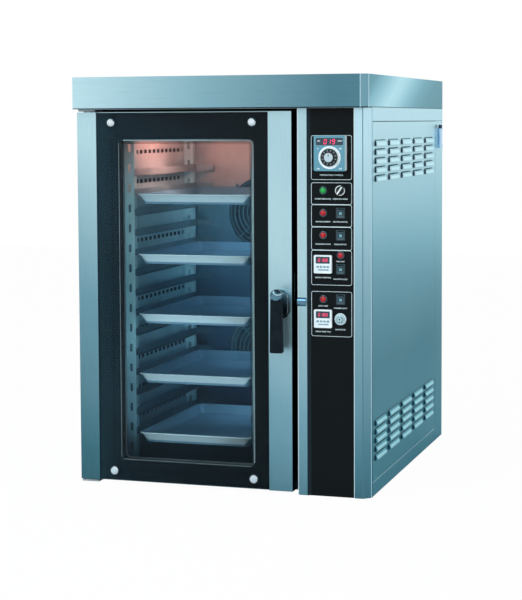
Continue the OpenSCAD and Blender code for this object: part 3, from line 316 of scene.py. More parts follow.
def glowing(name, colour, strength, rough):
    """Lit plastic or glass: its own glow over a moulded body."""
    f = Finish(name, Roughness=rough)
    colour = paint(colour)
    cells = f.noise(500.0, 2.0)
    f.colour(f.mottled(cells, colour, times(colour, 0.6), 0.25))
    f.set("Emission Color", colour)
    f.set("Emission Strength", strength)
    f.bump(cells, 0.0001, 0.2)
    return f


# Objects and meshes

def added(name, data):
    """A new object in the scene."""
    made = bpy.data.objects.new(name, data)
    bpy.context.scene.collection.objects.link(made)
    return made


def joined(parts):
    """Stacks several (points, faces) pairs into one pair."""
    verts, faces, start = [], [], 0
    for v, f in parts:
        verts.append(np.asarray(v, float))
        faces += [[int(i) + start for i in face] for face in f]
        start += len(v)
    return np.concatenate(verts).tolist(), faces


def piece(name, parts, finish, body="cabinet", smooth=False, merge=False):
    """Makes one finished piece at the origin from a list of (points, faces) pairs."""
    verts, faces = joined(parts)
    mesh = bpy.data.meshes.new(name)
    mesh.from_pydata(verts, [], faces)
    work = bmesh.new()
    work.from_mesh(mesh)
    if merge:
        bmesh.ops.remove_doubles(work, verts=work.verts, dist=1e-6)
    bmesh.ops.recalc_face_normals(work, faces=work.faces)
    work.to_mesh(mesh)
    work.free()
    mesh.materials.append(finish.material)
    if smooth:
        mesh.shade_smooth()
    made = added(name, mesh)
    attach(made, body)


def upright(points, y):
    """Points (x, z) stood up at a depth y."""
    p = np.asarray(points, float)
    return np.stack([p[..., 0], np.full(p.shape[:-1], y), p[..., 1]], -1)


def grid_quads(rows, columns, wrap_rows=False):
    """Quads of a grid of points stored row by row, whose columns close to a ring."""
    i, j = np.meshgrid(np.arange(rows if wrap_rows else rows - 1), np.arange(columns), indexing="ij")
    i2, j2 = (i + 1) % rows, (j + 1) % columns
    return np.stack([i * columns + j, i * columns + j2, i2 * columns + j2, i2 * columns + j], -1).reshape(-1, 4)


def turned(profile, x, y, z, count):
    """Surface of revolution: the profile's (radius, height) swept about an axis along Y, height to the front."""
    r, h = np.array(profile, float).T
    a = np.linspace(0, 2 * np.pi, count, endpoint=False)
    points = np.stack([x + np.outer(r, np.cos(a)), np.repeat(y - h[:, None], count, 1),
                       z + np.outer(r, np.sin(a))], -1)
    return points.reshape(-1, 3), grid_quads(len(r), count)


def torus(x, y, z, major, minor, count=40):
    """Ring about an axis along Y: a circle of radius minor carried round a circle of radius major."""
    a = np.linspace(0, 2 * np.pi, count, endpoint=False)[:, None]
    b = np.linspace(0, 2 * np.pi, 10, endpoint=False)[None, :]
    r = major + minor * np.cos(b)
    points = np.stack([x + r * np.cos(a), y + minor * np.sin(b) + 0 * a, z + r * np.sin(a)], -1)
    return points.reshape(-1, 3), grid_quads(count, 10, wrap_rows=True)


def slab(outline, y, thick=0.25 * MM):
    """Thin plate: an outline of (x, z) points given a front at y and a back behind it."""
    front = upright(outline, y)
    n = len(front)
    i = np.arange(n)
    sides = np.stack([i, (i + 1) % n, (i + 1) % n + n, i + n], -1)
    return np.concatenate([front, front + [0, thick, 0]]), [i, i[::-1] + n, *sides]


def round_box(cx, cz, w, h, r, steps=8):
    """Rectangle with round corners as (x, z) points: four quarter circles in order."""
    corners = []
    for k, (sx, sz) in enumerate([(1, 1), (-1, 1), (-1, -1), (1, -1)]):
        a = np.linspace(0, np.pi / 2, steps) + k * np.pi / 2
        arc = np.stack([np.cos(a), np.sin(a)], -1) * r
        corners.append(arc + [cx + sx * (w / 2 - r), cz + sz * (h / 2 - r)])
    return np.concatenate(corners)


def ribbon(path, width, y, thick=0.2 * MM):
    """Flat line of even width along a closed path: the path moved in and out along its own normals."""
    t = np.roll(path, -1, 0) - np.roll(path, 1, 0)
    t /= np.linalg.norm(t, axis=1)[:, None]
    normal = np.stack([t[:, 1], -t[:, 0]], -1) * width / 2
    loops = [upright(path + side * normal, h) for side, h in ((1, y), (-1, y), (-1, y + thick), (1, y + thick))]
    return np.concatenate(loops), grid_quads(4, len(path), wrap_rows=True)


def spoke(x, z, degrees, inner, outer, half, y, thick):
    """Flat bar on a line from a point: its ends lie at two distances along the line, its sides half a width off."""
    a = math.radians(degrees)
    along, side = np.array([math.cos(a), math.sin(a)]), np.array([-math.sin(a), math.cos(a)]) * half
    ends = [(inner, 1), (inner, -1), (outer, -1), (outer, 1)]
    return slab([(x, z) + along * reach + side * turn for reach, turn in ends], y, thick)


def letters(words, x, z, y, size):
    """Text as a flat mesh facing the viewer, with its middle at x and z."""
    curve = bpy.data.curves.new("lettering", "FONT")
    curve.body = words
    curve.size = size
    curve.align_x = curve.align_y = "CENTER"
    curve.resolution_u = 2
    curve.extrude = 0.00008
    curve.offset = 0.00014
    holder = bpy.data.objects.new("lettering", curve)
    mesh = bpy.data.meshes.new_from_object(holder)
    flat = np.array([v.co for v in mesh.vertices], float)
    faces = [list(p.vertices) for p in mesh.polygons]
    bpy.data.objects.remove(holder)
    bpy.data.curves.remove(curve)
    bpy.data.meshes.remove(mesh)
    return np.stack([x + flat[:, 0], y - flat[:, 2], z + flat[:, 1]], -1), faces


SEGMENTS = {"0": "abcdef", "1": "bc", "8": "abcdefg", "9": "abcdfg"}


def digit(sign, x, z, y, h):
    """Seven-segment digit: each segment is a bar with pointed ends, and the whole leans to the right."""
    w, t, gap = 0.52 * h, 0.11 * h, 0.02 * h
    spots = {"a": (0, h / 2, 0), "g": (0, 0, 0), "d": (0, -h / 2, 0), "b": (w / 2, h / 4, 1),
             "c": (w / 2, -h / 4, 1), "f": (-w / 2, h / 4, 1), "e": (-w / 2, -h / 4, 1)}
    parts = []
    for s in SEGMENTS[sign]:
        cx, cz, tall = spots[s]
        long = (h / 2 if tall else w) / 2 - gap
        bar = np.array([[-long, 0], [-long + t / 2, t / 2], [long - t / 2, t / 2],
                        [long, 0], [long - t / 2, -t / 2], [-long + t / 2, -t / 2]])
        bar = (bar[:, ::-1] if tall else bar) + [cx, cz]
        bar[:, 0] += 0.14 * bar[:, 1]
        parts.append(slab(bar + [x, z], y, 0.1 * MM))
    return parts


def lamp(kind, name, place, power, colour, turn=Matrix(), **settings):
    """Adds a light that no gloss shows."""
    light = bpy.data.lights.new(name, kind)
    light.energy, light.color = power, colour
    for key, value in settings.items():
        setattr(light, key, value)
    holder = added(name, light)
    holder.matrix_world = Matrix.Translation(place) @ turn
    holder.visible_glossy = False


# Settings

class OvenFinishSettings(bpy.types.PropertyGroup):
    # The three steel tones and the lean set the painted reflection on the door's steel: bright at the top, dark at the
    # foot
    steel_light: bpy.props.FloatVectorProperty(
        name="Steel, light", description="Tone of the steel at its brightest", subtype="COLOR", size=4,
        min=0, max=1, default=paint(0xBADFE8))
    steel_mid: bpy.props.FloatVectorProperty(
        name="Steel, middle", description="Tone of the steel halfway down", subtype="COLOR", size=4,
        min=0, max=1, default=paint(0x77A6B6))
    steel_dark: bpy.props.FloatVectorProperty(
        name="Steel, dark", description="Tone of the steel at its darkest", subtype="COLOR", size=4,
        min=0, max=1, default=paint(0x427480))
    steel_lean: bpy.props.FloatProperty(
        name="Lean", description="How much the tone of the door leans from left to right", default=0.55, min=0, max=1)
    brush_roughness: bpy.props.FloatProperty(
        name="Brushing", description="Roughness of the brushed steel", default=0.3, min=0.1, max=0.6)
    glass_tint: bpy.props.FloatVectorProperty(
        name="Glass tint", description="Tint of the outer pane", subtype="COLOR", size=4, min=0, max=1,
        default=paint(0x14222A))
    glass_cover: bpy.props.FloatProperty(
        name="Glass cover", description="How much the outer pane hides", default=0.12, min=0, max=1)
    lamp_colour: bpy.props.FloatVectorProperty(
        name="Lamp colour", description="Colour of the chamber lamp", subtype="COLOR", size=4, min=0, max=1,
        default=(1.0, 0.56, 0.48, 1.0))
    lamp_power: bpy.props.FloatProperty(
        name="Lamp power", description="Power of the chamber lamp in watts", default=3.4, min=0, max=50)
    glow_power: bpy.props.FloatProperty(
        name="Glow power", description="Power of the light between the trays in watts", default=0.62, min=0, max=10)


class OvenPrintSettings(bpy.types.PropertyGroup):
    line_width: bpy.props.FloatProperty(
        name="Line", description="Width of the outlines", default=0.0014, unit="LENGTH", min=0.0005, max=0.004)
    line_radius: bpy.props.FloatProperty(
        name="Corner", description="Corner radius of the outlines", default=0.006, unit="LENGTH", min=0.001,
        max=0.02)
    caption_size: bpy.props.FloatProperty(
        name="Caption", description="Height of the captions", default=0.0057, unit="LENGTH", min=0.003, max=0.02)
    print_colour: bpy.props.FloatVectorProperty(
        name="Print", description="Colour of the outlines and captions", subtype="COLOR", size=4, min=0, max=1,
        default=paint(0xE0F0F4))
    frit_pitch: bpy.props.FloatProperty(
        name="Frit pitch", description="Distance between the dots round the window", default=0.0068, unit="LENGTH",
        min=0.003, max=0.012)
    digit_colour: bpy.props.FloatVectorProperty(
        name="Digits", description="Colour of the lit digits", subtype="COLOR", size=4, min=0, max=1,
        default=paint(0xEE3060))


class OvenStudioSettings(bpy.types.PropertyGroup):
    camera_place: bpy.props.FloatVectorProperty(
        name="Camera", description="Place of the camera", subtype="TRANSLATION", size=3,
        default=(1.733, -5.613, 1.195))
    camera_yaw: bpy.props.FloatProperty(
        name="Yaw", description="Turn of the camera to the left", subtype="ANGLE", default=0.3063832)
    camera_pitch: bpy.props.FloatProperty(
        name="Pitch", description="Tilt of the camera downwards", subtype="ANGLE", default=0.0714984)
    camera_roll: bpy.props.FloatProperty(
        name="Roll", description="Roll of the camera", subtype="ANGLE", default=-0.005)
    focal_length: bpy.props.FloatProperty(
        name="Focal length", description="Focal length in millimetres", default=99.706, min=20, max=200)
    shift: bpy.props.FloatProperty(
        name="Shift", description="Vertical shift of the camera", default=-0.1, min=-0.3, max=0.3)
    room_level: bpy.props.FloatProperty(
        name="Room light", description="Level of the even light of the room", default=0.62, min=0, max=2)
    key_power: bpy.props.FloatProperty(
        name="Key light", description="Power of the large front light in watts", default=60, min=0, max=2000)
    window_power: bpy.props.FloatProperty(
        name="Window light", description="Power of the light before the window in watts", default=16, min=0, max=500)
    beam_power: bpy.props.FloatProperty(
        name="Window beams", description="Power of the beams into the chamber in watts", default=75, min=0, max=500)


# Operators

class OVEN_OT_casing(bpy.types.Operator):
    """Brushed steel of the casing, each sheet with a painted run of reflected light and shade, and painted highlights
    and shade lines
    """
    bl_idname = "oven.casing"
    bl_label = "Casing steel"

    def execute(self, context):
        s = context.scene.oven_finish
        rough, lean = s.brush_roughness, s.steel_lean
        # Painted reflection: the door's steel bright at the top and dark at the foot
        down = [(0, 0x3C6C78), (0.09, s.steel_dark), (0.43, s.steel_mid), (0.76, s.steel_light),
                (0.86, s.steel_light), (1, 0xB3D8E2)]
        door_low, door_high = node_box("door_frame")
        door = "Z", lean * door_low[0], 1.5 + lean * door_low[0], rough, lean
        # Painted shade: the door frame's right edge, in the gap by the latch strip, is painted near black
        brushed_steel("steel_door_stiles", down, *door, lambda f: [
            (f.past("X", door_high[0] - 0.6 * MM), 0x04090C)]).coat("door_frame")
        # Painted highlight along the latch strip's left edge
        strip_x = node_box("latch_strip")[0][0]
        brushed_steel("steel_latch_strip", down, *door, lambda f: [
            (f.band("X", strip_x - MM, strip_x + 2.2 * MM), 0xE8F8FC)]).coat("latch_strip")
        low, high = node_box("corner_pillar")
        left, bend = low[0], high[0] - CORNER_CUT
        # Painted reflection down the pillar, a painted highlight on its left edge, painted shade along the chamfer's
        # front fold and a painted highlight along its rear fold
        pillar = ((0, 0x407483), (0.09, 0x4C8494), (0.43, 0x8DB8C6), (0.76, 0xC3EAF7), (1, 0xC7ECF8))
        brushed_steel("steel_pillar", pillar, "Z", -0.02, 1.48, rough, 0.0, lambda f: [
            (f.band("X", left - MM, left + 2.4 * MM), 0xDAEEF4),
            (f.band("X", bend - 2.6 * MM, bend + 0.2 * MM), 0x5C8292),
            (f.band("Y", FRONT + 20.5 * MM, FRONT + 24 * MM), 0xC4E4EE)]).coat("corner_pillar")

        def louvre_painted_light(f):
            """Painted light on the louvres: painted shade along the top of each louvre and before its front end, a
            painted highlight on each face, a painted shadow line at the cover's top seam and a painted highlight at its
            foot.
            """
            face = f.past("X", COVER_HIGH[0] - 10.5 * MM)
            column = f.along("Y", COVER_LOW[1] + 28.5 * MM, LOUVRE_STEP)
            wide = f.band(column, -MM, LOUVRE_W)
            marks = []
            for start, lit in ((COVER_LOW[2] + 66.5 * MM, 0xC4F4FC),
                               (COVER_HIGH[2] - 77.5 * MM - 4 * LOUVRE_PITCH, 0xE2FAFF)):
                row = f.along("Z", start, LOUVRE_PITCH)
                inside = f.band("Z", start - 2 * MM, start + 4 * LOUVRE_PITCH + 23 * MM)
                # Painted shade along each louvre's top and its front end
                crease_shade = f.sums("MAXIMUM", f.band(row, 17 * MM, 20.4 * MM),
                                f.both(f.under(column, 3.2 * MM), f.under(row, 18 * MM)))
                marks.append((f.both(f.both(wide, inside), f.both(crease_shade, face)), 0x16343E))
                # Painted highlight on each louvre's face
                glow = f.both(f.band(row, 2 * MM, 12 * MM), f.band(column, 7 * MM, 134 * MM))
                marks.append((f.both(f.both(glow, inside), f.both(face, 0.7)), lit))
            # Painted shadow line at the cover's top seam, painted highlight at its foot
            for seam, rise, tone in ((COVER_HIGH[2], 1.8 * MM, 0x0C181E), (COVER_LOW[2], 2.2 * MM, 0xE8F6FA)):
                marks.append((f.both(face, f.band("Z", seam - 1.2 * MM, seam + rise)), tone))
            return marks

        # Painted reflection up the side sheets: dark at the foot, bright at the top
        side = ((0, 0x468EA0), (0.06, 0x468FA1), (0.33, 0x4C889A), (0.62, 0x84B4C3), (0.97, 0xD1E8F1), (1, 0xD2E9F2))
        glancing = 0xD6F9FF
        sheet = "Z", 0, TOP, rough + 0.03, 0.0
        brushed_steel("steel_side", side, *sheet, louvre_painted_light, glancing).coat("right_side_frame", "louvred_side_cover")
        brushed_steel("steel_far_side", side, *sheet, None, glancing).coat("left_side_panel", "back_cover")
        # Painted shade: the front frame, seen in the gaps round the door, is painted near black
        moulded("frame_dark", 0x090F12, 0.5, 0.1, scale=900.0, shine=0.1).coat("front_frame")

        def canopy_side(f):
            """Painted light on the canopy: a slanted painted highlight near the front of its side, painted highlights
            along the folds and a painted shadow along the foot under both faces.
            """
            run = ((0, 0x608E9E), (0.09, 0x84B2C0), (0.22, 0xB0D4DF), (0.31, 0xC8E6EF), (0.4, 0xBEDEE8),
                   (0.52, 0x96C0CE), (0.66, 0x709EAE), (0.8, 0x5C8A9A), (1, 0x4E7E8E))
            slant = f.sums("SUBTRACT", "Y", f.both(f.sums("SUBTRACT", "Z", TOP + 0.052), 2.4))
            tone = f.run(slant, FRONT - 35 * MM, FRONT + 1.14, run)
            x, fold, tip = CANOPY_HIGH[0], CANOPY_HIGH[0] - CORNER_CUT, CANOPY_LOW[1] + CORNER_CUT
            face, foot = f.past("X", x - 0.8 * MM), f.under("Z", CANOPY_LOW[2] + 2.6 * MM)
            lines = f.sums("MAXIMUM", f.band("X", fold - 1.6 * MM, fold + 1.2 * MM),
                           f.both(f.under("Y", tip + 1.8 * MM), f.past("X", x - 1.6 * MM)))
            return [(face, tone), (f.both(face, foot), 0x1A2E38),
                    (f.both(foot, f.under("Y", tip)), 0x060C10), (f.both(lines, 0.75), 0xC4E4EE)]

        # Painted reflection across the canopy's front: bright at the left, darker towards the corner
        across = ((0, 0xC0E4ED), (0.45, 0x86B2BF), (0.88, 0x4C7D8E), (0.976, 0x508191), (0.981, 0x76A5B5),
                  (1, 0x70A0B0))
        brushed_steel("steel_canopy", across, "X", CANOPY_LOW[0], CANOPY_HIGH[0], rough, 0.0, canopy_side,
                           glancing).coat("canopy")
        plain = satin_steel("steel_plain_sheet", 0xA8B4B8, 0.42, 0.2)
        plain.coat("base_pan", "top_cover", "inner_walls", "hinge_brackets")
        return {"FINISHED"}


class OVEN_OT_chamber(bpy.types.Operator):
    """Liner, ducts, racks, trays, fans, heaters and lights of the chamber"""
    bl_idname = "oven.chamber"
    bl_label = "Chamber"

    def execute(self, context):
        s = context.scene.oven_finish
        # Painted light and shade in the chamber: dark at the foot, pink lamp light at the top
        shades = ((0, 0x0E1A28), (0.22, 0x264262), (0.5, 0x4E7E9C), (0.76, 0x70A6B8), (0.84, 0xCEBEB8), (1, 0xFAD8D0))
        satin_steel("chamber_sheet", shades, 0.36, 0.3, 0.3).coat("fan_baffle", "lamp_housing")
        baffle_y = node_box("fan_baffle")[0][1]

        # Painted shade: the liner dark in front of the baffle, with painted light and shade behind it
        def liner_tone(f):
            dark = f.run("Z", *CHAMBER_Z, ((0, 0x060C14), (1, 0x3A3C42)))
            return f.blend(f.past("Y", baffle_y - 40 * MM), dark, f.run("Z", *CHAMBER_Z, shades))

        # Painted light and shade on the rails: dark at the foot, warm lamp light at the top
        def rail_tone(f):
            return f.run("Z", *CHAMBER_Z, ((0, 0x182C3E), (0.5, 0x467488), (0.8, 0x78A0AA), (1, 0xE2C4BA)))

        for name, metal, rough, scale, tone, smoke, span, nodes in (
                ("liner_sheet", 0.2, 0.5, 7.0, liner_tone, 0x141A22, (0.3, 0.72), ["chamber_liner"]),
                ("rail_sheet", 0.3, 0.34, 9.0, rail_tone, 0x101A24, (0.35, 0.7), ["left_rails", "right_rails"])):
            f = Finish(name, Metallic=metal, Roughness=rough)
            clouds = f.noise(scale, 5.0, 0.6)
            f.colour(f.mottled(clouds, tone(f), smoke, 0.3, *span))
            f.bump(clouds, 0.0002, 0.1)
            f.coat(*nodes)
        # Painted light and shade on the ducts: dark at the foot, lamp light at the top
        lit = ((0, 0x2C485E), (0.12, 0x6090AA), (0.5, 0xA0E6F8), (0.8, 0xB0D8DE), (1, 0xF0CCC4))
        satin_steel("duct_sheet", lit, 0.36, 0.3, 0.3).coat("left_air_duct", "right_air_duct")
        # Painted light and shade on the rack posts, by height
        posts = ((0, 0x42687C), (0.12, 0x78ACBE), (0.5, 0xB0EEFA), (0.8, 0xBCE8EE), (1, 0xE2D6D2))
        satin_steel("rack_sheet", posts, 0.3, 0.15, 0.3).coat("rack_posts")
        tray = Finish("tray_aluminium", Metallic=0.15, Roughness=0.4)
        clouds = tray.noise(7.0, 5.0, 0.6)
        worn = tray.mottled(clouds, 0x7CAEC8, 0x6898B2, high=0.72)
        # Painted highlight on the trays' front lips
        front = tray.under("Y", node_box("tray_1")[0][1] + 17 * MM)
        tray.colour(tray.blend(front, worn, 0xD6F6FF))
        tray.bump(clouds, 0.0002, 0.1)
        tray.coat(*("tray_%d" % k for k in range(1, 6)))
        moulded("guard_wire", 0x548292, 0.4, 0.1, 0.4).coat("fan_guards")
        satin_steel("fan_metal", 0x466878, 0.45, 0.35, 0.3).coat("upper_fan", "lower_fan")
        moulded("motor_enamel", 0x344046, 0.45, 0.4, 0.1, 700.0).coat("fan_motors")
        heater = Finish("heater_tube", Metallic=0.6, Roughness=0.5)
        heat = heater.noise(60.0, 4.0)
        heater.colour(heater.ramp(heat, ((0.3, 0x46342C), (0.6, 0x684E3E), (0.9, 0x34384A))))
        heater.bump(heat, 0.0002, 0.3)
        heater.coat("heating_elements")
        wool = Finish("mineral_wool", Roughness=0.95)
        fibre = wool.noise(1.0, 6.0, 0.8, (900, 120, 400))
        wool.colour(wool.ramp(fibre, ((0.3, 0x968A54), (0.7, 0xD6CC96))))
        wool.bump(fibre, 0.002, 0.8)
        wool.coat("insulation")
        glowing("lamp_glass", (1.0, 0.72, 0.55, 1.0), 3.0, 0.2).coat("lamp_lens")
        # The lamp, a soft light over each of four trays and two behind the baffle's inlets
        x, y, _ = centre("lamp_lens")
        lens_foot = node_box("lamp_lens")[0][2]
        glows = [("chamber_lamp", (x, y, lens_foot - 0.035), s.lamp_power, s.lamp_colour[:3])]
        for k, share in enumerate((0.7, 0.75, 0.6, 1.0), 1):
            level = node_box("tray_%d" % k)[1][2] + 0.125
            glows.append(("chamber_glow_%d" % k, (x + 0.06, 0.02, level), s.glow_power * share, (0.66, 0.86, 1.0)))
        for k, level in enumerate((0.94, 0.62), 1):
            glows.append(("baffle_glow_%d" % k, (-0.25, baffle_y + 0.07, level), s.glow_power * 0.5,
                          (0.6, 0.85, 1.0)))
        for glow in glows:
            lamp("POINT", *glow, shadow_soft_size=0.03)
        return {"FINISHED"}


class OVEN_OT_door(bpy.types.Operator):
    """Panes, black enamel, glass holders, gasket and hinges of the door"""
    bl_idname = "oven.door"
    bl_label = "Door"

    def execute(self, context):
        s = context.scene.oven_finish
        pane("outer_pane", s.glass_tint, s.glass_cover).coat("outer_glass")
        pane("inner_pane", 0x22343C, 0.06).coat("inner_glass")
        enamel = Finish("black_enamel", Roughness=0.12, Specular_IOR_Level=0.1)
        glass_low, glass_high = node_box("glass_enamel")
        cells = enamel.noise(900.0, 2.0)
        # Painted reflection: the enamel lighter at the left and darkening to the right
        sweep = enamel.run("X", glass_low[0], glass_high[0],
                           ((0, 0x1B3640), (0.12, 0x14242C), (0.5, 0x0D171D), (1, 0x060F12)))
        enamel.colour(enamel.mottled(cells, sweep, 0x22343C, 0.12))
        enamel.roughness(cells, 0.1, 0.16)
        enamel.coat("glass_enamel")
        satin_steel("door_inner_sheet", 0xAABEC4, 0.3, 0.2).coat("door_inner_panel")
        # Painted shade: dark towards the window and darkest at its foot, plain steel towards the chamber
        glazing = Finish("glazing_sheet", Metallic=0.2, Roughness=0.5, Specular_IOR_Level=0.15)
        shade = glazing.blend(glazing.under("Z", WINDOW_Z[0] + 14 * MM), 0x0E1A20, 0x2C3E46)
        rear = glazing.past("Y", node_box("glazing_frame")[1][1] - 0.8 * MM)
        tone = glazing.blend(rear, shade, 0xB0C4CA)
        glazing.colour(glazing.mottled(glazing.noise(9.0, 4.0, 0.6), tone, 0x3C4E56, 0.2))
        glazing.coat("glazing_frame")
        polished("holder_caps", 0xE2F0F6, 0.22).coat("glass_holders")
        moulded("gasket_rubber", 0x16181A, 0.7, 0.5, scale=900.0, shine=0.2).coat("door_gasket")
        polished("bush_brass", 0xC4A05C, 0.3).coat("hinge_bushes")
        # Dark ring round each holder, and a painted highlight: bright strips along the window's edge at its foot and
        # hinge side
        low, high = node_box("glass_holders")
        y = node_box("outer_glass")[0][1] - 0.3 * MM
        profile = [(HOLDER_R + out * MM, h * MM) for out, h in ((0.3, 0), (0.3, 1.2), (2.6, 1.0), (3.2, 0))]
        rings = [turned(profile, x, y, z, 36) for x in (low[0] + HOLDER_R, high[0] - HOLDER_R)
                 for z in (low[2] + HOLDER_R, high[2] - HOLDER_R)]
        ring = moulded("holder_washer", 0x12222A, 0.4, 0.1, scale=900.0, shine=0.2)
        piece("holder_washers", rings, ring, "door", smooth=True)
        y = glass_high[1] + 0.25 * MM
        inset, ends = 1.6 * MM, 16 * MM
        edges = [slab(round_box(WINDOW_CX, WINDOW_Z[0] + inset, WINDOW_W - ends, 2.2 * MM, 1 * MM), y),
                 slab(round_box(WINDOW_X[0] + inset, WINDOW_CZ, 1.8 * MM, WINDOW_H - ends, 0.8 * MM), y)]
        steel = satin_steel("window_edge_painted_highlight", 0xCEE8F0, 0.3, 0.1, 0.4)
        piece("window_edges", edges, steel, "door")
        return {"FINISHED"}


class OVEN_OT_frit(bpy.types.Operator):
    """Dots fired on the glass round the window: a pale row on the border and two dark rows inside it"""
    bl_idname = "oven.frit"
    bl_label = "Frit dots"

    def execute(self, context):
        pitch = context.scene.oven_print.frit_pitch
        y = node_box("outer_glass")[1][1] - 0.1 * MM
        a = np.arange(8) * np.pi / 4
        circle = np.stack([np.cos(a), np.sin(a)], -1)
        rows = []
        for row, (off, size) in enumerate(((-2.4 * MM, 2.2 * MM), (3.2 * MM, 2.4 * MM), (8.0 * MM, 1.9 * MM))):
            line = round_box(WINDOW_CX, WINDOW_CZ, WINDOW_W - 2 * off, WINDOW_H - 2 * off, 14 * MM - off, 24)
            line = np.concatenate([line, line[:1]])
            run = np.concatenate([[0], np.cumsum(np.linalg.norm(np.diff(line, axis=0), axis=1))])
            count = int(run[-1] / pitch / (1.0 if row else 1.35))
            at = (np.arange(count) + 0.5 * (row % 2)) / count * run[-1]
            spots = np.stack([np.interp(at, run, ordinate) for ordinate in line.T], -1)
            if row == 0:
                # The pale row keeps clear of the hinge side and the foot
                spots = spots[(spots[:, 0] > WINDOW_X[0] + 16 * MM) & (spots[:, 1] > WINDOW_Z[0] + 16 * MM)]
            flat = upright(spots[:, None, :] + circle * size, y).reshape(-1, 3)
            rows.append((flat, np.arange(len(flat)).reshape(-1, 8)))
        body = moulded("frit_enamel", 0x091014, 0.3, 0.05, shine=0.1)
        pale = moulded("frit_gap_glass", 0xC4E2E8, 0.3, 0.05, shine=0.2)
        piece("frit_dots", rows[1:], body, "door")
        piece("frit_edge_dots", rows[:1], pale, "door")
        return {"FINISHED"}


class OVEN_OT_handle(bpy.types.Operator):
    """Black grip, dark chrome rose, chrome head, spindle and keeper"""
    bl_idname = "oven.handle"
    bl_label = "Handle"

    def execute(self, context):
        moulded("handle_black", 0x07141B, 0.3, 0.15, shine=0.1).coat("handle_grip")
        rose, keeper = node_box("handle_rose"), node_box("latch_keeper")
        # Painted reflection on the rose and the keeper: dark below, a painted highlight at the top
        for name, metal, rough, scale, low, high, stops, least, most, node in (
                ("rose_dark_chrome", 0.6, 0.26, 120.0, rose[0][2], rose[1][2],
                 ((0, 0x0C1A22), (0.45, 0x162A34), (0.72, 0x548092), (1, 0x96C0CE)),
                 0.2, 0.34, "handle_rose"),
                ("keeper_chrome", 1.0, 0.22, 90.0, keeper[0][2] + 8 * MM, keeper[1][2] - 8 * MM,
                 ((0, 0x7096A8), (0.25, 0x426886), (0.55, 0x547E98), (0.75, 0x96BECE), (0.88, 0xECF8FC)),
                 0.18, 0.28, "latch_keeper")):
            f = Finish(name, Metallic=metal, Roughness=rough)
            f.colour(f.run("Z", low, high, stops))
            f.roughness(f.noise(scale, 4.0, 0.6), least, most)
            f.coat(node)
        # Painted highlight: a bright ring on the head, set off its middle towards the top left
        ringed("handle_chrome", "handle_spindle",
               ((0, 0x0E222C), (8, 0x224252), (12.5, 0x5C8698), (16, 0xCEE8F0), (18, 0x608898)),
               0.03, 0.2, 0.8, moved=(3 * MM, -4 * MM))
        (x, _, z), (w, _, h), inset = centre("handle_rose"), rose[1] - rose[0], 7.4 * MM
        path = round_box(x, z, w - inset, h - inset, w / 2 - 10.5 * MM, 14)
        line = ribbon(path, 2 * MM, rose[0][1] - 0.12 * MM, 0.3 * MM)
        piece("rose_edge", [line], polished("rose_edge_chrome", 0xCEE2EA, 0.16), "door")
        return {"FINISHED"}


class OVEN_OT_controls(bpy.types.Operator):
    """Black panel, controller, timers, knobs, switches, lamps and the side bolt"""
    bl_idname = "oven.controls"
    bl_label = "Controls"

    def execute(self, context):
        panel = Finish("panel_black", Roughness=0.34, Specular_IOR_Level=0.1)
        grains = panel.noise(1200.0, 2.0)
        black = panel.mottled(grains, 0x090F11, 0x111B1F, 0.2)
        # Painted reflection: the panel's bevelled left edge painted lighter than the black face
        bevel = panel.under("X", node_box("control_panel")[0][0] + 11.8 * MM)
        panel.colour(panel.blend(bevel, black, 0x1A262E))
        panel.bump(grains, 0.0001, 0.12)
        panel.coat("control_panel")
        moulded("fitting_black", 0x2E4048, 0.4, 0.2, shine=0.25).coat("panel_fittings")
        # Controller: teal front; the rest of the case painted near white, a painted highlight of its lit side
        case = Finish("controller_case", Roughness=0.4)
        front = case.under("Y", node_box("temperature_controller")[0][1] + 0.4 * MM)
        case.colour(case.blend(front, 0xDEECF0, 0x5C94A6))
        case.bump(case.noise(1500.0, 2.0), 0.0001, 0.15)
        case.coat("temperature_controller")
        ringed("dial_black_and_silver", "temperature_dial",
               ((0, 0xBACCD2), (12.4, 0xD6E4E8), (14.2, 0x12181C), (28.2, 0xDEEAED)), 0.04, 0.3)
        ringed("small_knob_silver", "small_knob",
               ((0, 0x48707C), (3.5, 0xCEE8EE), (7, 0x68929E), (9.5, 0xDAF0F4), (13.5, 0x749CA8), (15, 0xCEE6EC)),
               0.03, 0.25, 0.6)
        moulded("selector_black", 0x1A2024, 0.3, 0.15).coat("selector_knob")
        moulded("timer_white", 0xE2ECF0, 0.38, 0.15).coat("timers")
        for k in range(1, 5):
            ringed("rocker_plastic_%d" % k, "rocker_%d" % k,
                   ((0, 0x70A8B6), (4, 0x243840), (8.2, 0x3A545E)), 0.03, 0.3, square=True)
        glowing("lamp_red", 0xB01222, 0.16, 0.1).coat("red_lamps")
        glowing("lamp_green", 0x12A042, 0.16, 0.1).coat("green_lamp")
        polished("bolt_steel", 0xBCDEF4, 0.2).coat("bolt_housing")
        moulded("bolt_dark", 0x1E3A58, 0.3, 0.2, 0.4).coat("side_bolt")
        return {"FINISHED"}


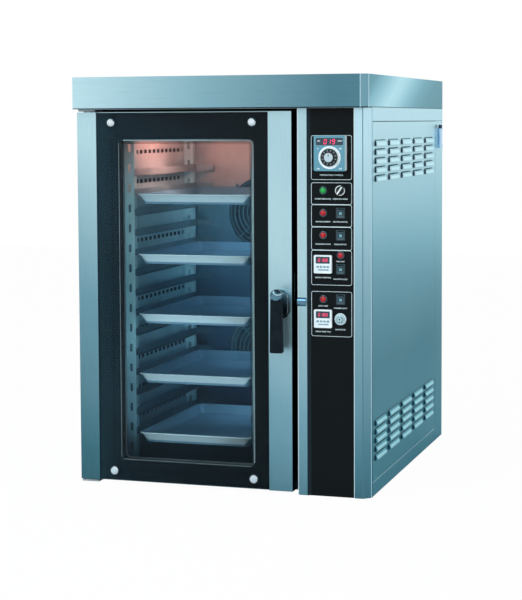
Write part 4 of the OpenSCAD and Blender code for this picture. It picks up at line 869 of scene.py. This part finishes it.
class OVEN_OT_panel_print(bpy.types.Operator):
    """Printed outlines and captions of the control panel"""
    bl_idname = "oven.panel_print"
    bl_label = "Panel print"

    # Top and foot of each outline in mm below the canopy
    groups = [(87.5, 226.0), (236.0, 304.0), (305.5, 374.5), (376.0, 448.0), (449.5, 559.0), (580.0, 722.0)]
    # Column, drop below the canopy in mm, and the words
    captions = [
        (LEFT, 287, "POWER INDICATOR"), (RIGHT, 287, "OPERATING MODE"), (LEFT, 359, "HEATING ELEMENT"),
        (RIGHT, 359, "HEATING SWITCH"), (LEFT, 430, "STEAM INDICATOR"), (RIGHT, 430, "STEAM SWITCH"),
        (RIGHT, 484, "TIME LAMP"), (RIGHT, 540, "FAN SWITCH KEY"), (LEFT, 536, "BAKING TIMER ONE"),
        (LEFT, 626, "LIGHT LAMP"), (RIGHT, 632, "CHAMBER LIGHT"), (LEFT, 708, "STEAM TIMER TWO"),
        (RIGHT, 700, "MINUTES SET"),
    ]

    def execute(self, context):
        p = context.scene.oven_print
        f = Finish("panel_print", Roughness=0.5)
        f.colour(f.mottled(f.noise(400.0), p.print_colour, 0x78888E, 0.5, 0.4, 0.75))
        x, y = PANEL_CX - 2.8 * MM, PANEL_Y - 0.2 * MM
        lines = [ribbon(round_box(x, drop((top + foot) / 2), 131 * MM, (foot - top) * MM, p.line_radius),
                        p.line_width, y) for top, foot in self.groups]
        piece("panel_outlines", lines, f)
        words = [letters(text, PANEL_CX + (column - 1) * MM, drop(down), y, p.caption_size)
                 for column, down, text in self.captions]
        words.append(letters("TEMPERATURE CONTROL", PANEL_CX - 2.75 * MM, drop(212), y, p.caption_size * 1.15))
        piece("panel_captions", words, f)
        return {"FINISHED"}


class OVEN_OT_displays(bpy.types.Operator):
    """Display windows, lit digits, key marks and the dial scale"""
    bl_idname = "oven.displays"
    bl_label = "Displays"

    def execute(self, context):
        window = moulded("display_window", 0x263C48, 0.1, 0.02)
        lit = glowing("digit_red", context.scene.oven_print.digit_colour, 1.6, 0.4)
        white = moulded("scale_white", 0xECF4F6, 0.4, 0.1)
        dark = moulded("scale_dark", 0x1A2226, 0.4, 0.1)
        key = moulded("key_grey", 0x80A0AC, 0.5, 0.2)
        cx, top = centre("temperature_controller")[0], node_box("temperature_controller")[1][2]
        y = node_box("temperature_controller")[0][1]
        z = top - 19 * MM
        windows = [slab(round_box(cx, z, 88 * MM, 23 * MM, 1.5 * MM), y + 1.2 * MM)]
        digits, keys = [], []
        for k, sign in enumerate("019"):
            digits += digit(sign, cx + (k - 1) * 13.5 * MM, z, y + 1 * MM, 14 * MM)
        # Two timers, each with a window of four digits, four keys and a longer one
        low, high = node_box("timers")
        tx, ty, size = (low[0] + high[0]) / 2, low[1], high[0] - low[0]
        for tz in (high[2] - size / 2, low[2] + size / 2):
            z = tz + 13 * MM
            windows.append(slab(round_box(tx, z, size - 12.4 * MM, 21.6 * MM, 1.3 * MM), ty + 1 * MM))
            for k, sign in enumerate("0188"):
                digits += digit(sign, tx + (k - 1.5) * 8.2 * MM, z, ty + 0.8 * MM, 9 * MM)
                keys.append(slab(round_box(tx + (11 * k - 16.5) * MM, tz - 8.5 * MM, 8.4 * MM, 6.4 * MM, 1.2 * MM),
                                 ty + 0.3 * MM, 0.3 * MM))
            keys.append(slab(round_box(tx + 2 * MM, tz - 18 * MM, 34 * MM, 4.5 * MM, 1 * MM), ty - 0.1 * MM))
        piece("display_windows", windows, window)
        piece("display_digits", digits, lit)
        piece("timer_keys", keys, key)
        # Scale ring round the dial, with ticks and numbers
        dx, face, dz = centre("temperature_dial")
        ring = ribbon(round_box(dx, dz, 67 * MM, 67 * MM, 33.4 * MM, 18), 4.6 * MM, y - 0.15 * MM)
        piece("dial_scale", [ring], white)
        ticks = [spoke(dx, dz, 225 - 9 * k, 31.6 * MM, (33.6 if k % 5 else 35.2) * MM, 0.35 * MM, y - 0.3 * MM,
                       0.1 * MM) for k in range(31)]
        piece("dial_ticks", ticks, dark)
        words = [letters(text, cx + off * MM, top - down * MM, y - 0.1 * MM, 6 * MM) for off, down, text in (
            (-37, 41, "0"), (36, 41, "300"), (-36, 104, "ON"), (36, 104, "OFF"), (-34, 17, "SET"), (35, 17, "HEAT"))]
        piece("controller_marks", words, white)
        # Dark marks on the dial's skirt, and a dark pointer line on its cap
        face = node_box("temperature_dial")[0][1]
        marks = [spoke(dx, dz, 30 * k + 15, 18.9 * MM, 24.1 * MM, 1.3 * MM, face + 9.2 * MM, 0.4 * MM)
                 for k in range(12)]
        grey = moulded("dial_mark_grey", 0x788A90, 0.4, 0.1)
        piece("dial_marks", marks, grey, "temperature_dial")
        line = slab(round_box(dx, dz + 7 * MM, 2.2 * MM, 10 * MM, 0.8 * MM), face - 0.12 * MM)
        piece("dial_line", [line], dark, "temperature_dial")
        return {"FINISHED"}


class OVEN_OT_small_parts(bpy.types.Operator):
    """Chrome rims of the lamps, the selector's ring and pointer, and screws of the baffle"""
    bl_idname = "oven.small_parts"
    bl_label = "Small parts"

    def execute(self, context):
        lamps = ((LEFT, 331), (LEFT, 401), (RIGHT, 464), (LEFT, 604), (LEFT, 260))
        rims = [torus(PANEL_CX + column * MM, PANEL_Y - 2.2 * MM, drop(down), 11.2 * MM, 1.3 * MM)
                for column, down in lamps]
        piece("lamp_rims", rims, polished("rim_chrome", 0x607A84, 0.12), smooth=True)
        x, _, z = centre("selector_knob")
        y = node_box("selector_knob")[0][1]
        marks = [torus(x, y + 9.3 * MM, z, 14.6 * MM, 1.5 * MM, 48),
                 spoke(x, z, 55, -14 * MM, 14 * MM, 2.2 * MM, y - 0.15 * MM, 0.3 * MM)]
        white = moulded("selector_white", 0xE0E8EA, 0.35, 0.1)
        piece("selector_marks", marks, white, "selector_knob")
        low, high = node_box("fan_baffle")
        left, right, top, middle = low[0] + 14 * MM, high[0] - 14 * MM, high[2] - 12 * MM, (low[2] + high[2]) / 2
        head = [(r * MM, h * MM) for r, h in ((0, 2.4), (2.2, 2.1), (3.8, 1.1), (4.2, 0), (0, 0))]
        heads = [turned(head, x, low[1], z, 14) for x, z in
                 ((left, high[2] - 30 * MM), (low[0] + 74 * MM, top), (high[0] - 40 * MM, top),
                  (right, high[2] - 60 * MM), (left, low[2] + 30 * MM), (right, low[2] + 30 * MM),
                  (left, middle), (right, middle))]
        piece("baffle_screws", heads, polished("screw_steel", 0xDEE6E8, 0.2), smooth=True,
              merge=True)
        return {"FINISHED"}


class OVEN_OT_studio(bpy.types.Operator):
    """White room with soft light, and the camera"""
    bl_idname = "oven.studio"
    bl_label = "Studio"

    def execute(self, context):
        s = context.scene.oven_studio
        scene = context.scene
        floor = bpy.data.meshes.new("studio_floor")
        reach = 9.0
        floor.from_pydata([(x * reach, y * reach, 0) for x, y in ((-1, -1), (1, -1), (1, 1), (-1, 1))], [],
                          [(0, 1, 2, 3)])
        ground = added("studio_floor", floor)
        ground.location = (0, 0, -0.0005)
        f = Finish("studio_floor", Roughness=0.9)
        f.colour(0xECEEEF)
        seen = f.both(f.add("LightPath").outputs["Is Camera Ray"], 0.97)
        glow = f.add("Emission", {"Color": (1, 1, 1, 1), "Strength": 1.0})
        mix = f.add("MixShader", {0: seen, 1: f.shader.outputs[0], 2: glow.outputs[0]})
        f.feed(f.tree.nodes["Material Output"], "Surface", mix.outputs[0])
        floor.materials.append(f.material)
        world = bpy.data.worlds.new("studio_room")
        scene.world = world
        world.use_nodes = True
        w = Nodes(world.node_tree, "Generated")
        room = w.tree.nodes["Background"]
        w.feed(room, "Color", (0.93, 0.97, 1.0, 1.0))
        w.feed(room, "Strength", s.room_level)
        # Camera rays see white. Glossy rays see white with one dark wall towards the left, and a bright window
        # up on the left that puts highlights on lamps and chrome
        wall = w.ranged(w.vectors("DOT_PRODUCT", w.place, (-0.95, 0.0, -0.3))["Value"], 0.6, 0.85, 1.0, 0.08)
        window = w.ranged(w.vectors("DOT_PRODUCT", w.place, (-0.35, -0.55, 0.76))["Value"], 0.955, 0.965, 0.0, 5.0)
        rays = w.add("LightPath").outputs
        glossy = rays["Is Glossy Ray"]
        seen = w.sums("MAXIMUM", rays["Is Camera Ray"], rays["Is Transmission Ray"])
        lit = w.sums("ADD", wall, w.both(window, glossy))
        white = w.add("Background", {"Color": (1, 1, 1, 1), "Strength": w.sums("MAXIMUM", seen, lit)})
        mixer = w.add("MixShader", {
            0: w.sums("MAXIMUM", seen, glossy), 1: room.outputs[0], 2: white.outputs[0]})
        w.feed(w.tree.nodes["World Output"], "Surface", mixer.outputs[0])
        # Wide lights have a size, beams have none
        aims = [("key_light", (-2.6, -4.2, 3.4), (0, 0, 0.65), 2.6, s.key_power, (1, 1, 1)),
                ("fill_light", (4.2, -1.6, 2.2), (0, 0, 0.65), 2.4, s.key_power * 0.5, (1, 1, 1)),
                ("window_light", (-0.6, -2.0, 1.9), (-0.13, -0.3, 0.6), 1.0, s.window_power, (0.62, 0.88, 1.0))]
        for name, level, share in (("upper_beam", 0.93, 0.8), ("middle_beam", 0.62, 0.5), ("lower_beam", 0.34, 1.2)):
            aims.append((name, (0.45, -2.4, level), (-0.122, -0.6, level), 0, s.beam_power * share, (0.7, 0.9, 1.0)))
        for name, place, target, size, power, colour in aims:
            shape = {"size": size} if size else {"spot_size": math.radians(16), "spot_blend": 0.5}
            turn = (Vector(target) - Vector(place)).to_track_quat("-Z", "Y").to_matrix().to_4x4()
            lamp("AREA" if size else "SPOT", name, place, power, colour, turn, **shape)
        lens = bpy.data.cameras.new("photo_camera")
        lens.lens = s.focal_length
        lens.sensor_width = 36
        lens.shift_y = s.shift
        lens.clip_end = 60
        camera = added("photo_camera", lens)
        place = Matrix.Translation(s.camera_place)
        for angle, axis in ((s.camera_yaw, "Z"), (math.pi / 2 - s.camera_pitch, "X"), (s.camera_roll, "Z")):
            place = place @ Matrix.Rotation(angle, 4, axis)
        camera.matrix_world = place
        scene.camera = camera
        scene.view_settings.view_transform = "Standard"
        return {"FINISHED"}


class OVEN_PT_panel(bpy.types.Panel):
    """Lists the steps that dress the oven and their settings"""
    bl_label = "Bakery oven"
    bl_idname = "OVEN_PT_panel"
    bl_space_type = "VIEW_3D"
    bl_region_type = "UI"
    bl_category = "Oven"

    def draw(self, context):
        for kind in STEPS:
            self.layout.operator(kind.bl_idname)
        for place, group in GROUPS.items():
            box = self.layout.box()
            for name in group.__annotations__:
                box.prop(getattr(context.scene, place), name)


STEPS = (OVEN_OT_casing, OVEN_OT_chamber, OVEN_OT_door, OVEN_OT_frit, OVEN_OT_handle, OVEN_OT_controls,
         OVEN_OT_panel_print, OVEN_OT_displays, OVEN_OT_small_parts, OVEN_OT_studio)
GROUPS = {"oven_finish": OvenFinishSettings, "oven_print": OvenPrintSettings, "oven_studio": OvenStudioSettings}
KINDS = (*GROUPS.values(), *STEPS, OVEN_PT_panel)


def register():
    for kind in KINDS:
        bpy.utils.register_class(kind)
    for place, group in GROUPS.items():
        setattr(bpy.types.Scene, place, bpy.props.PointerProperty(type=group))


def unregister():
    for place in GROUPS:
        delattr(bpy.types.Scene, place)
    for kind in reversed(KINDS):
        bpy.utils.unregister_class(kind)


def main():
    register()
    for kind in STEPS:
        group, name = kind.bl_idname.split(".")
        getattr(getattr(bpy.ops, group), name)()


if __name__ == "__main__":
    main()
